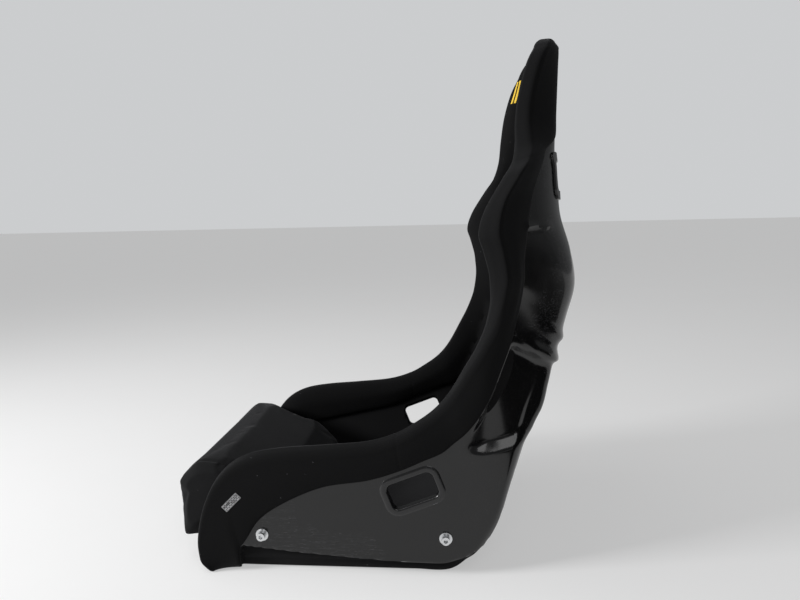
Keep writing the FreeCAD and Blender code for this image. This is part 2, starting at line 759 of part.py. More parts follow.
share = (size("badge_z") - size("head_back_z")) / (size("head_high_back_z") - size("head_back_z"))
badge_back = size("head_back_y") * (1 - share) + size("head_high_back_y") * share
badge_y = (badge_back + pad_outer - size("head_pad_thickness") - size("badge_thickness")
           - size("badge_clearance"))
badge_turn = Rotation(Vector(1, 0, 0), 90)
badge = new_body("head_embroidery", Placement(
    Vector(0, badge_y + size("badge_thickness"), size("badge_z")), badge_turn))
badge_outline = polygon_sketch(badge, "head_embroidery_outline", "XY_Plane",
                               rectangle("Sizes.badge_width", "Sizes.badge_height"))
pad(badge, "head_embroidery_thread", badge_outline, "Sizes.badge_thickness")
kept.append(badge)

document.recompute()
for item in document.Objects:
    if "Invalid" in item.State or "Error" in item.State:
        raise RuntimeError(f"{item.Name} failed: {item.State}")
for item in kept:
    if item.Shape.isNull() or not item.Shape.isValid():
        raise RuntimeError(f"{item.Label} has no valid shape")
os.makedirs("parts", exist_ok=True)
for item in kept:
    item.Shape.exportStep(f"parts/{item.Label}.step")
    print(f"{item.Label}: {item.Shape.Volume / 1000:.1f} cm3, {len(item.Shape.Solids)} solid(s)")
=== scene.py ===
import math
import bmesh
import bpy
import numpy as np
from mathutils import Matrix, Vector


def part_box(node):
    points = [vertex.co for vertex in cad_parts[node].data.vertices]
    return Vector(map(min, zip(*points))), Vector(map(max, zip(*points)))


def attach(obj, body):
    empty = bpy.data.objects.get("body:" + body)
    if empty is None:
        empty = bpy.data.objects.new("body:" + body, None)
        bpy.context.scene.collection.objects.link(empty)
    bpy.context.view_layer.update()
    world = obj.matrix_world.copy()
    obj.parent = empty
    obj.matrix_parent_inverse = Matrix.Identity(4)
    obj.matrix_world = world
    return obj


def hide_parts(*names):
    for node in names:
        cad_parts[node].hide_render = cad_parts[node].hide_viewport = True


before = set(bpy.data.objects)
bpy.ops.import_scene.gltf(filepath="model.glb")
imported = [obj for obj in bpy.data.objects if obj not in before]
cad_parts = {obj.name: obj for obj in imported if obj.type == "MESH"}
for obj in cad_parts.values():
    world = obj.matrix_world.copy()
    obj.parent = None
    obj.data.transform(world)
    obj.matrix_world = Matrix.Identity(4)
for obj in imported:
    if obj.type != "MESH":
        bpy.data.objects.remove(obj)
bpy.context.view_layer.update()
print("frame loaded:", len(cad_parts), "nodes")

mm = 0.001

# The seat is drawn through these stations, from the front tip of the thigh bolster up to the crown:
# back y, back z, rim y, rim z, corner half width, corner radius, rim half width, in millimetres,
# then how much of the side wall the bolster covers outside and inside, and its padding in millimetres
seatStations = {
    "tip": (-226, 0, -251, 26, 200, 10, 200, 0.95, 0.90, 12),
    "nose low": (-221, 0, -252, 53, 200, 16, 200, 0.95, 0.80, 15),
    "nose": (-212, 0, -246, 87, 200, 22, 200, 0.95, 0.68, 18),
    "nose high": (-200, 0, -235, 121, 200, 26, 200, 0.95, 0.57, 20),
    "brow": (-185, 0, -217, 154, 200, 28, 200, 0.94, 0.47, 21),
    "knee": (-165, 0, -191, 179, 200, 28, 200, 0.80, 0.43, 22),
    "thigh front": (-140, 0, -158, 194, 200, 28, 200, 0.59, 0.40, 22),
    "thigh": (-100, 0, -110, 202, 200, 28, 200, 0.43, 0.37, 22),
    "thigh mid": (-40, 0, -47, 207, 200, 28, 200, 0.29, 0.31, 22),
    "thigh back": (30, 0, 24, 214, 200, 28, 200, 0.25, 0.25, 21),
    "hip": (95, 0, 70, 228, 200, 28, 200, 0.22, 0.20, 20),
    "hip back": (150, 0, 100, 245, 200, 30, 200, 0.21, 0.20, 20),
    "tail low": (188, 14, 124, 262, 200, 32, 200, 0.23, 0.23, 20),
    "tail": (209, 42, 142, 280, 200, 34, 202, 0.25, 0.30, 21),
    "tail high": (229, 80, 158, 302, 199, 34, 208, 0.29, 0.39, 22),
    "sacrum": (243, 126, 176, 333, 197, 36, 216, 0.34, 0.49, 22),
    "ledge": (260, 184, 192, 360, 194, 40, 225, 0.36, 0.63, 22),
    "waist low": (279, 238, 205, 387, 188, 46, 233, 0.34, 0.71, 22),
    "waist": (302, 287, 213, 407, 180, 50, 241, 0.30, 0.76, 23),
    "ridge": (315, 337, 220, 430, 170, 55, 251, 0.27, 0.80, 24),
    "blade low": (334, 400, 225, 453, 159, 65, 262, 0.24, 0.81, 25),
    "blade": (349, 451, 227, 476, 150, 85, 272, 0.23, 0.80, 27),
    "blade high": (346, 502, 221, 508, 146, 150, 279, 0.36, 0.85, 28),
    "shoulder": (333, 556, 215, 537, 142, 210, 280, 0.67, 0.87, 28),
    "shoulder high": (330, 604, 223, 572, 134, 220, 263, 0.86, 0.85, 26),
    "neck low": (326, 632, 247, 612, 124, 190, 236, 0.86, 0.85, 22),
    "neck": (323, 652, 261, 636, 112, 130, 202, 0.86, 0.85, 19),
    "neck high": (323, 676, 266, 664, 98, 62, 166, 0.92, 0.84, 17),
    "head low": (323, 706, 267, 700, 88, 36, 145, 0.95, 0.79, 16),
    "head": (324, 745, 273, 742, 86, 34, 139, 0.95, 0.81, 16),
    "head high": (325, 785, 285, 783, 83, 30, 133, 0.95, 0.76, 15),
    "crown low": (327, 811, 297, 809, 72, 22, 114, 0.95, 0.71, 13),
    "crown": (327, 826, 304, 824, 52, 14, 82, 0.95, 0.60, 11),
}
stationNames = list(seatStations)
stationTable = np.array(list(seatStations.values()), float)
stationTable[:, [0, 1, 2, 3, 4, 5, 6, 9]] *= mm

shellSizes = {"wall": 4 * mm, "rimRoll": 12 * mm, "gap": 0.3 * mm, "lining": 4 * mm}


def placeOf(name):
    return float(stationNames.index(name))


def smooth(value, low, high):
    # 0 up to low and 1 from high, with an S shaped rise between them
    share = np.clip((value - low) / (high - low), 0, 1)
    return share * share * (3 - 2 * share)


def catmullRom(before, start, end, after, share):
    # the cubic through start and end whose slopes are half the steps between their neighbours
    return 0.5 * (2 * start + (end - before) * share
                  + (2 * before - 5 * start + 4 * end - after) * share ** 2
                  + (3 * start - before - 3 * end + after) * share ** 3)


def sectionsAt(place):
    # a Catmull-Rom curve through every column of the stations, one row for each place
    last = len(stationTable) - 1
    low = np.clip(np.floor(place).astype(int), 0, last - 1)
    share = (place - low)[:, None]
    rows = catmullRom(*(stationTable[np.clip(low + step, 0, last)] for step in (-1, 0, 1, 2)), share)
    backY, backZ, rimY, rimZ, cornerHalf, cornerRadius, rimHalf, out, down, padding = (
        rows[:, [column]] for column in range(10))
    height = np.hypot(rimY - backY, rimZ - backZ)
    lean = np.arctan2(height, rimHalf - cornerHalf)
    slant = np.hypot(height, rimHalf - cornerHalf) - shellSizes["rimRoll"]
    tangent = cornerRadius * np.tan(lean / 2)
    return {
        "backY": backY, "backZ": backZ,
        "upY": (rimY - backY) / height, "upZ": (rimZ - backZ) / height,
        "cornerHalf": cornerHalf, "cornerRadius": cornerRadius, "lean": lean, "slant": slant,
        "tangent": tangent, "straight": slant - tangent, "out": out, "down": down, "padding": padding,
    }


def onWall(section, down, outward):
    # measured down from the shell's edge along the side wall, and outward from its skin
    along = section["slant"] - down
    leanCos, leanSin = np.cos(section["lean"]), np.sin(section["lean"])
    across = section["cornerHalf"] + leanCos * along + leanSin * outward
    forward = leanSin * along - leanCos * outward
    return np.stack(np.broadcast_arrays(across, forward), -1)


def onCorner(section, share, outward):
    # an arc from the back, share 0, to the wall, share 1, whose radius grows by outward
    angle = share * section["lean"] - math.pi / 2
    reach = section["cornerRadius"] + outward
    across = section["cornerHalf"] - section["tangent"] + reach * np.cos(angle)
    forward = section["cornerRadius"] + reach * np.sin(angle)
    return np.stack(np.broadcast_arrays(across, forward), -1)


def onBack(section, share, outward):
    # the straight back, from the middle, share 0, to where the corner starts
    across = (section["cornerHalf"] - section["tangent"]) * share
    return np.stack(np.broadcast_arrays(across, -outward), -1)


def toSpace(section, flat, side=1):
    # from a section's own plane into the seat's space
    across, forward = flat[..., 0], flat[..., 1]
    return np.stack([side * across, section["backY"] + section["upY"] * forward,
                     section["backZ"] + section["upZ"] * forward], -1)


def splineThrough(points, samples):
    # Catmull-Rom through the points of each row
    count = points.shape[1]
    place = np.linspace(0, count - 1, samples)
    low = np.clip(np.floor(place).astype(int), 0, count - 2)
    share = (place - low)[None, :, None]
    return catmullRom(*(points[:, np.clip(low + step, 0, count - 1)] for step in (-1, 0, 1, 2)), share)


def makeObject(name, points, faces, smoothAngle=40):
    # an object at the origin, smooth but for edges sharper than the angle in degrees
    mesh = bpy.data.meshes.new(name)
    mesh.from_pydata(points, [], faces)
    mesh.validate()
    piece = bpy.data.objects.new(name, mesh)
    bpy.context.scene.collection.objects.link(piece)
    faceOutward(mesh)
    mesh.polygons.foreach_set("use_smooth", np.ones(len(mesh.polygons), bool))
    if smoothAngle:
        mesh.set_sharp_from_angle(angle=math.radians(smoothAngle))
    return piece


def faceOutward(mesh):
    # doubles are merged first, then every face turns to the outside
    work = bmesh.new()
    work.from_mesh(mesh)
    bmesh.ops.remove_doubles(work, verts=work.verts, dist=1e-6)
    bmesh.ops.recalc_face_normals(work, faces=work.faces)
    work.to_mesh(mesh)
    work.free()


def gridFaces(rows, columns, closed, start=0):
    # the quads of a grid, whose columns join up round a ring when it is closed
    row, column = np.meshgrid(
        np.arange(rows - 1), np.arange(columns if closed else columns - 1), indexing="ij")
    right = (column + 1) % columns
    quads = np.stack([row * columns + column, row * columns + right,
                      (row + 1) * columns + right, (row + 1) * columns + column], -1)
    return (quads.reshape(-1, 4) + start).tolist()


def ringPiece(name, rings, bandCaps=False, smoothAngle=40):
    # a closed skin of rings, capped at both ends
    rows, columns = rings.shape[:2]
    faces = gridFaces(rows, columns, True)
    for first in (0, (rows - 1) * columns):
        if bandCaps:
            half = columns // 2
            faces += [[first + i, first + i + 1, first + columns - 2 - i, first + columns - 1 - i]
                      for i in range(half - 1)]
        else:
            faces.append(list(range(first, first + columns)))
    return makeObject(name, rings.reshape(-1, 3), faces, smoothAngle)


def finishPiece(piece, body, material, replaced=()):
    # one material, the body it rides on, and the CAD nodes it stands for, which are hidden
    piece.data.materials.clear()
    piece.data.materials.append(material)
    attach(piece, body)
    if replaced:
        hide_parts(*replaced)
    return piece


def newMaterial(name, **values):
    # a Principled material with plain values set on its sockets
    material = bpy.data.materials.new(name)
    material.use_nodes = True
    nodes, links = material.node_tree.nodes, material.node_tree.links
    shader = nodes["Principled BSDF"]
    for socket, value in values.items():
        shader.inputs[socket.replace("_", " ")].default_value = value
    return material, nodes, links, shader


def groupSockets(group, inputs, outputs):
    for label, kind, value in inputs:
        socket = group.interface.new_socket(label, in_out="INPUT", socket_type=kind)
        if value is not None:
            socket.default_value = value
    for label in outputs:
        group.interface.new_socket(label, in_out="OUTPUT", socket_type="NodeSocketFloat")
    return group.nodes.new("NodeGroupInput"), group.nodes.new("NodeGroupOutput")


def feed(links, socket, value):
    # a plain value is set on the socket itself, and another node's output is linked to it
    if isinstance(value, (int, float, tuple)):
        socket.default_value = value
    else:
        links.new(value, socket)


def noiseNode(nodes, links, vector, scale, detail, roughness):
    noise = nodes.new("ShaderNodeTexNoise")
    for label, value in (("Detail", detail), ("Roughness", roughness),
                         ("Scale", scale), ("Vector", vector)):
        feed(links, noise.inputs[label], value)
    return noise.outputs["Fac"]


def mathNode(nodes, links, operation, *values, clamp=False):
    node = nodes.new("ShaderNodeMath")
    node.operation = operation
    node.use_clamp = clamp
    for index, value in enumerate(values):
        feed(links, node.inputs[index], value)
    return node.outputs[0]


def mixColour(nodes, links, factor, first, second):
    node = nodes.new("ShaderNodeMix")
    node.data_type = "RGBA"
    for index, value in ((0, factor), (6, first), (7, second)):
        feed(links, node.inputs[index], value)
    return node.outputs[2]


def addBump(nodes, links, shader, height, strength, distance):
    bump = nodes.new("ShaderNodeBump")
    for label, value in (("Strength", strength), ("Distance", distance), ("Height", height)):
        feed(links, bump.inputs[label], value)
    links.new(bump.outputs["Normal"], shader.inputs["Normal"])


def placedGroup(nodes, links, group):
    # a shared effect, placed by the piece's own Object coordinates
    place, effect = nodes.new("ShaderNodeTexCoord"), nodes.new("ShaderNodeGroup")
    effect.node_tree = group
    links.new(place.outputs["Object"], effect.inputs["Vector"])
    return effect.outputs


def toned(tone, shares):
    return tuple(tone * share for share in shares) + (1,)


napDetail = {"fibreScale": 900.0, "brushScale": 9.0,
             "lintScale": 55, "lintSize": 0.028, "lintRare": 0.56}


def napGroup():
    # the short pile of velour: a fine fibre height, a slow mask where the pile lies another way,
    # and a few round specks of lint where that mask is high
    detail = napDetail
    group = bpy.data.node_groups.new("velourNap", "ShaderNodeTree")
    inputs, outputs = groupSockets(
        group, [("Vector", "NodeSocketVector", None),
                ("Fibre Scale", "NodeSocketFloat", detail["fibreScale"]),
                ("Brush Scale", "NodeSocketFloat", detail["brushScale"])],
        ["Height", "Brushed", "Lint"])
    nodes, links = group.nodes, group.links
    vector = inputs.outputs["Vector"]
    fibre = noiseNode(nodes, links, vector, inputs.outputs["Fibre Scale"], 2, 0.7)
    brush = noiseNode(nodes, links, vector, inputs.outputs["Brush Scale"], 4, 0.6)
    cells = nodes.new("ShaderNodeTexVoronoi")
    cells.inputs["Scale"].default_value = detail["lintScale"]
    links.new(vector, cells.inputs["Vector"])
    near = mathNode(nodes, links, "LESS_THAN", cells.outputs["Distance"], detail["lintSize"])
    rare = mathNode(nodes, links, "GREATER_THAN", brush, detail["lintRare"])
    links.new(fibre, outputs.inputs["Height"])
    links.new(brush, outputs.inputs["Brushed"])
    links.new(mathNode(nodes, links, "MULTIPLY", near, rare), outputs.inputs["Lint"])
    return group


# the light tone serves both the brushed-up pile and the painted light on the fibre tips
velourLook = {
    "sheenRoughness": 0.35, "sheenTint": (0.86, 0.87, 0.9, 1), "specular": 0.08,
    "laidDown": (0.55, 0.55, 0.58), "brushedUpAndFibreLight": (1.9, 1.9, 2.0), "fibreTipLight": 0.6,
    "lint": (0.15, 0.15, 0.16, 1), "roughnessSpread": 0.16, "bump": 0.45, "pile": 0.7 * mm,
}


def velourMaterial(name, nap, tone=0.0032, roughness=0.9, sheen=0.08):
    look = velourLook
    material, nodes, links, shader = newMaterial(
        name, Sheen_Weight=sheen, Sheen_Roughness=look["sheenRoughness"],
        Specular_IOR_Level=look["specular"], Sheen_Tint=look["sheenTint"])
    pile = placedGroup(nodes, links, nap)
    dark, light = toned(tone, look["laidDown"]), toned(tone, look["brushedUpAndFibreLight"])
    base = mixColour(nodes, links, pile["Brushed"], dark, light)
    # the colour is lighter where the fibre height is raised, as in the bump: painted light on the fibre
    # tips and painted shade between them
    raised = mathNode(nodes, links, "MULTIPLY", pile["Height"], look["fibreTipLight"])
    base = mixColour(nodes, links, raised, base, light)
    base = mixColour(nodes, links, pile["Lint"], base, look["lint"])
    links.new(base, shader.inputs["Base Color"])
    rough = mathNode(nodes, links, "MULTIPLY_ADD", pile["Brushed"], look["roughnessSpread"],
                     roughness - look["roughnessSpread"] / 2)
    links.new(rough, shader.inputs["Roughness"])
    addBump(nodes, links, shader, pile["Height"], look["bump"], look["pile"])
    return material


wearDetail = {
    "rippleScale": 14.0, "scratchTurn": (0.35, 0.2, 0.1), "scratchStretch": (60, 8, 160),
    "scratchScale": 3.0, "scratchWidth": 0.006, "scratchedFrom": 0.55, "patchScale": 7.0,
    "speckScale": 620.0, "speckFrom": 0.70, "hazeScale": 22.0,
}


def wearGroup():
    # fine hair scratches, dust specks and a slow ripple for glossy moulded surfaces
    detail = wearDetail
    group = bpy.data.node_groups.new("glossWear", "ShaderNodeTree")
    inputs, outputs = groupSockets(
        group, [("Vector", "NodeSocketVector", None),
                ("Ripple Scale", "NodeSocketFloat", detail["rippleScale"])],
        ["Scratches", "Dust", "Ripple", "Grain"])
    nodes, links = group.nodes, group.links
    vector = inputs.outputs["Vector"]
    stretch = nodes.new("ShaderNodeMapping")
    stretch.inputs["Rotation"].default_value = detail["scratchTurn"]
    stretch.inputs["Scale"].default_value = detail["scratchStretch"]
    links.new(vector, stretch.inputs["Vector"])
    lines = noiseNode(nodes, links, stretch.outputs["Vector"], detail["scratchScale"], 2, 0.4)
    offLine = mathNode(nodes, links, "ABSOLUTE", mathNode(nodes, links, "SUBTRACT", lines, 0.5))
    thin = mathNode(nodes, links, "LESS_THAN", offLine, detail["scratchWidth"])
    patches = noiseNode(nodes, links, vector, detail["patchScale"], 3, 0.6)
    where = mathNode(nodes, links, "GREATER_THAN", patches, detail["scratchedFrom"])
    specks = noiseNode(nodes, links, vector, detail["speckScale"], 2, 0.8)
    speck = mathNode(nodes, links, "GREATER_THAN", specks, detail["speckFrom"])
    haze = noiseNode(nodes, links, vector, detail["hazeScale"], 5, 0.65)
    ripple = noiseNode(nodes, links, vector, inputs.outputs["Ripple Scale"], 1, 0.3)
    links.new(mathNode(nodes, links, "MULTIPLY", thin, where), outputs.inputs["Scratches"])
    links.new(mathNode(nodes, links, "MULTIPLY", speck, haze), outputs.inputs["Dust"])
    links.new(ripple, outputs.inputs["Ripple"])
    links.new(haze, outputs.inputs["Grain"])
    return group


glossLook = {
    "coatRoughness": 0.06, "specular": 0.45, "ior": 1.5, "grainLow": (0.8, 0.8, 0.85),
    "grainHigh": (1.3, 1.3, 1.4), "scratchShare": 0.35, "scratch": (0.12, 0.12, 0.13, 1),
    "dustShare": 0.5, "dust": (0.22, 0.21, 0.2, 1), "grainSpread": 0.16, "grainBase": 0.06,
    "scratchRoughness": 0.3, "rippleHeight": 0.8 * mm,
}


def glossMaterial(name, wear, tone=0.003, roughness=0.15, coat=0.05, rippleDepth=0.8):
    look = glossLook
    material, nodes, links, shader = newMaterial(
        name, Coat_Weight=coat, Coat_Roughness=look["coatRoughness"],
        Specular_IOR_Level=look["specular"], IOR=look["ior"])
    worn = placedGroup(nodes, links, wear)
    base = mixColour(nodes, links, worn["Grain"],
                     toned(tone, look["grainLow"]), toned(tone, look["grainHigh"]))
    for effect, share, colour in (("Scratches", look["scratchShare"], look["scratch"]),
                                  ("Dust", look["dustShare"], look["dust"])):
        amount = mathNode(nodes, links, "MULTIPLY", worn[effect], share)
        base = mixColour(nodes, links, amount, base, colour)
    links.new(base, shader.inputs["Base Color"])
    rough = mathNode(nodes, links, "MULTIPLY_ADD", worn["Grain"], look["grainSpread"],
                     roughness - look["grainBase"])
    dulled = mathNode(nodes, links, "MULTIPLY", worn["Scratches"], look["scratchRoughness"])
    links.new(mathNode(nodes, links, "ADD", rough, dulled, clamp=True), shader.inputs["Roughness"])
    addBump(nodes, links, shader, worn["Ripple"], rippleDepth, look["rippleHeight"])
    return material


zincLook = {"grainScale": 420, "dark": (0.50, 0.51, 0.52, 1), "bright": (0.82, 0.83, 0.84, 1),
            "roughness": 0.14, "roughnessSpread": 0.3}


def zincMaterial():
    look = zincLook
    material, nodes, links, shader = newMaterial("brightZinc", Metallic=1.0)
    place = nodes.new("ShaderNodeTexCoord")
    grain = noiseNode(nodes, links, place.outputs["Object"], look["grainScale"], 4, 0.6)
    base = mixColour(nodes, links, grain, look["dark"], look["bright"])
    links.new(base, shader.inputs["Base Color"])
    rough = mathNode(nodes, links, "MULTIPLY_ADD", grain, look["roughnessSpread"], look["roughness"])
    links.new(rough, shader.inputs["Roughness"])
    return material


threadLook = {"yellow": (0.85, 0.56, 0.03, 1), "shadow": 0.62, "stitchScale": 500,
              "bump": 0.6, "height": 0.3 * mm}


def threadMaterial(name, colour):
    # rows of satin stitch: a wave of light and dark across the thread
    look = threadLook
    material, nodes, links, shader = newMaterial(
        name, Roughness=0.55, Sheen_Weight=0.2, Sheen_Roughness=0.4, Specular_IOR_Level=0.35)
    place = nodes.new("ShaderNodeTexCoord")
    wave = nodes.new("ShaderNodeTexWave")
    wave.inputs["Scale"].default_value = look["stitchScale"]
    wave.inputs["Distortion"].default_value = 0.6
    wave.inputs["Detail"].default_value = 1
    links.new(place.outputs["Object"], wave.inputs["Vector"])
    dark = toned(look["shadow"], colour[:3])
    links.new(mixColour(nodes, links, wave.outputs["Fac"], dark, colour), shader.inputs["Base Color"])
    addBump(nodes, links, shader, wave.outputs["Fac"], look["bump"], look["height"])
    return material


tagLook = {
    "edge": {"X": 0.035, "Y": 0.09},
    "bricks": {"Scale": 1.0, "Mortar Size": 0.022, "Brick Width": 0.17, "Row Height": 0.26,
               "Color1": (0.42, 0.42, 0.43, 1), "Color2": (0.03, 0.03, 0.03, 1),
               "Mortar": (0.01, 0.01, 0.01, 1)},
    "threads": 26, "threadGrooveShade": (0.12, 0.12, 0.12, 1), "threadPale": (0.34, 0.34, 0.35, 1),
    "bump": 0.5, "height": 0.3 * mm,
}


def tagMaterial():
    # a woven label: pale thread bars on black, inside a pale whipped edge whose grooves between threads
    # are darkened as painted shade
    look = tagLook
    material, nodes, links, shader = newMaterial(
        "wovenTag", Roughness=0.7, Sheen_Weight=0.05, Specular_IOR_Level=0.25)
    place = nodes.new("ShaderNodeUVMap")
    place.uv_map = "weave"
    split = nodes.new("ShaderNodeSeparateXYZ")
    links.new(place.outputs["UV"], split.inputs["Vector"])
    rims = []
    for axis, reach in look["edge"].items():
        offMiddle = mathNode(nodes, links, "SUBTRACT", split.outputs[axis], 0.5)
        centred = mathNode(nodes, links, "ABSOLUTE", offMiddle)
        rims.append(mathNode(nodes, links, "GREATER_THAN", centred, 0.5 - reach))
    edge = mathNode(nodes, links, "MAXIMUM", *rims)
    bars = nodes.new("ShaderNodeTexBrick")
    for label, value in look["bricks"].items():
        bars.inputs[label].default_value = value
    links.new(place.outputs["UV"], bars.inputs["Vector"])
    thread = nodes.new("ShaderNodeTexWave")
    thread.inputs["Scale"].default_value = look["threads"]
    links.new(place.outputs["UV"], thread.inputs["Vector"])
    # dark in the grooves of the thread wave, as in the bump: painted shade
    pale = mixColour(nodes, links, thread.outputs["Fac"], look["threadGrooveShade"], look["threadPale"])
    woven = mixColour(nodes, links, edge, bars.outputs["Color"], pale)
    links.new(woven, shader.inputs["Base Color"])
    addBump(nodes, links, shader, thread.outputs["Fac"], look["bump"], look["height"])
    return material


nap, wear = napGroup(), wearGroup()
materials = {
    "shell": glossMaterial("blackGelCoat", wear),
    "bezel": glossMaterial("bezelPlastic", wear, tone=0.006, roughness=0.24, coat=0.1, rippleDepth=0.2),
    # the dark, dull underside material: bare laminate and painted shade under the seat's edge
    "laminateAndShade": velourMaterial("bareLaminateAndShade", nap, tone=0.006, roughness=0.85, sheen=0.0),
    "velour": velourMaterial("bolsterVelour", nap),
    # the cushions get the bolster velour made twice as light, with more sheen: painted light on their
    # upturned faces
    "cushion": velourMaterial("cushionVelourLitCopy", nap, tone=0.007, sheen=0.12),
    "lining": velourMaterial("liningVelour", nap, tone=0.005, sheen=0.04),
    "tape": velourMaterial("hookTape", nap, tone=0.012, roughness=0.8, sheen=0.05),
    "zinc": zincMaterial(),
    "yellow": threadMaterial("yellowThread", threadLook["yellow"]),
    "tag": tagMaterial(),
}
print("materials made")

# the moulded shell
shellDetail = {
    "fineFrom": "sacrum", "fineTo": "blade low", "fineRows": 16, "plainRows": 9,
    "wallColumns": 48, "cornerColumns": 18, "backColumns": 20, "wallBias": 1.3, "backReach": 100 * mm,
    "sharp": 35, "fade": 8 * mm,
    # the sunk waist: how deep, and where it starts outward, backward and under the ribs
    "recess": 13 * mm, "recessStart": (163 * mm, 192 * mm), "recessBack": (168 * mm, 212 * mm),
    "recessUnder": (-34 * mm, -7 * mm), "coverFade": 16 * mm,
    # the hip ledge, in millimetres: back, and the height of its foot and of its top
    "ledgeY": (187, 205, 222, 243, 264, 276, 300), "ledgeLow": (199, 201, 203, 208, 217, 222, 226),
    "ledgeTop": (217, 219, 224, 229, 234, 236, 240),
    # the swelling across the back above the ledge
    "bump": 6 * mm, "bumpRise": (205 * mm, 240 * mm), "bumpFall": (262 * mm, 300 * mm),
    # two ribs: a point on each, its slope, and its height
    "ribs": ((259 * mm, 380 * mm, -0.68, 8 * mm), (289 * mm, 400 * mm, -0.80, 5 * mm)),
    "ribWidth": 8 * mm, "ribStart": (-10 * mm, 20 * mm),
    # the small bar under each shoulder
    "barZ": 541 * mm, "barHeight": 3 * mm, "barWidth": 3.2 * mm, "barStart": (252 * mm, 262 * mm),
    "barEnd": (298 * mm, 308 * mm), "barSide": (130 * mm, 160 * mm),
    # the side panel's lower edge, in millimetres, the tuck below it, and the dark, dull underside under
    # the edge: partly bare laminate, partly painted shade
    "creaseY": (-300, -183, -86, -6, 73, 143, 180, 202, 216, 225, 234, 241, 253),
    "creaseZ": (58, 46, 36, 30, 24, 23, 36, 50, 68, 86, 111, 134, 174),
    "tuck": 11 * mm, "tuckReach": 5 * mm, "tuckSide": (150 * mm, 186 * mm), "tuckFoot": 10 * mm,
    "tuckTop": (160 * mm, 176 * mm), "shadeBelow": 2 * mm, "shadeTop": 44 * mm, "shadeBack": 215 * mm,
    "wrap": 0.8, "wrapFrom": (0.87, 0.95),
}


def sideLine(y, rowY, rowZ):
    # the height of a line drawn on the seat's side, straight between its points
    return np.interp(y, np.array(shellDetail[rowY]) * mm, np.array(shellDetail[rowZ]) * mm)


def shellDisplacement(point, beyond):
    # how far the skin moves outward: the waist sinks above the hip ledge and under the ribs,
    # the bilge is tucked in below the side panel's edge, and the ribs and the shoulder bar stand proud.
    # Beyond is the distance past the cover's edge, where the skin is still unmoved
    detail = shellDetail
    x, y, z = np.abs(point[..., 0]), point[..., 1], point[..., 2]
    clear = smooth(beyond, 0, detail["fade"])
    sides = smooth(x, *detail["recessStart"])
    low, top = sideLine(y, "ledgeY", "ledgeLow"), sideLine(y, "ledgeY", "ledgeTop")
    sunk = smooth((z - low) / np.maximum(top - low, 1 * mm), 0, 1) * smooth(y, *detail["recessBack"])
    ribY, ribZ, ribSlope, ribHeight = detail["ribs"][0]
    ribLine = ribZ + ribSlope * (y - ribY)
    sunk = sunk * (1 - smooth(z - ribLine, *detail["recessUnder"]))
    moved = -detail["recess"] * sunk * sides * smooth(beyond, 0, detail["coverFade"])
    for ribY, ribZ, ribSlope, ribHeight in detail["ribs"]:
        across = (z - ribZ - ribSlope * (y - ribY)) / (detail["ribWidth"] * math.hypot(1, ribSlope))
        rise = smooth(y, ribY + detail["ribStart"][0], ribY + detail["ribStart"][1])
        moved = moved + ribHeight * np.exp(-across ** 2) * rise * clear
    swelling = smooth(z, *detail["bumpRise"]) * (1 - smooth(z, *detail["bumpFall"])) * (1 - sides)
    bar = np.exp(-((z - detail["barZ"]) / detail["barWidth"]) ** 2) * smooth(y, *detail["barStart"])
    bar = bar * (1 - smooth(y, *detail["barEnd"])) * smooth(x, *detail["barSide"])
    moved = moved + detail["bump"] * swelling + detail["barHeight"] * bar
    below = smooth(sideLine(y, "creaseY", "creaseZ") - z, 0, detail["tuckReach"])
    below = below * smooth(x, *detail["tuckSide"]) * smooth(z, 0, detail["tuckFoot"])
    return moved - detail["tuck"] * below * clear * (1 - smooth(z, *detail["tuckTop"]))


def wallShares(columns):
    # shares of the way down the wall, closer set toward the corner
    return 1 - (1 - np.linspace(0, 1, columns)[None, :]) ** shellDetail["wallBias"]


def halfShell(section, wallColumns, cornerColumns, backColumns, down=0.0, outward=0.0):
    # one half of the U, from the edge of the wall round the corner to the middle of the back
    walls = down + (section["straight"] - down) * wallShares(wallColumns)
    bends = np.linspace(1, 0, cornerColumns)[None, 1:]
    backs = np.linspace(1, 0, backColumns)[None, 1:]
    return np.concatenate([onWall(section, walls, outward), onCorner(section, bends, outward),
                           onBack(section, backs, outward)], 1)


def skinDistance(section, counts, down):
    # how far each column is from the shell's edge, along the wall and on round the corner
    wallColumns, cornerColumns, backColumns = counts
    walls = down + (section["straight"] - down) * wallShares(wallColumns)
    corner = section["cornerRadius"] * section["lean"]
    bends = section["straight"] + corner * np.linspace(0, 1, cornerColumns)[None, 1:]
    backs = bends[:, -1:] + np.linspace(0, shellDetail["backReach"], backColumns)[None, 1:]
    return np.concatenate([walls, bends, backs], 1)


def coverReach(section):
    # how far the cover comes down the outside: past the corner at the nose and at the ears
    corner = section["cornerRadius"] * section["lean"]
    wrapped = smooth(section["out"], *shellDetail["wrapFrom"]) * corner
    return section["straight"] * section["out"] + shellDetail["wrap"] * wrapped


def shellPlaces():
    # places along the seat, closer together where the ledge and the ribs are
    detail, last = shellDetail, len(stationNames) - 1
    fine = placeOf(detail["fineFrom"]), placeOf(detail["fineTo"])
    return np.unique(np.concatenate([
        np.linspace(0, fine[0], int(fine[0]) * detail["plainRows"] + 1),
        np.linspace(*fine, int(fine[1] - fine[0]) * detail["fineRows"] + 1),
        np.linspace(fine[1], last, int(last - fine[1]) * detail["plainRows"] + 1)]))


def mouldedLayer(section, counts, depth, down=0.0):
    # the whole U at one depth under the outer skin, following the skin's moves
    flat = halfShell(section, *counts, down=down)
    outward = halfShell(section, *counts, down=down, outward=1.0) - flat
    beyond = skinDistance(section, counts, down) - coverReach(section)
    moved = shellDisplacement(toSpace(section, flat), beyond)
    skin = toSpace(section, flat + outward * (moved - depth)[..., None])
    return np.concatenate([skin, (skin[:, ::-1] * np.array([-1, 1, 1]))[:, 1:]], 1)


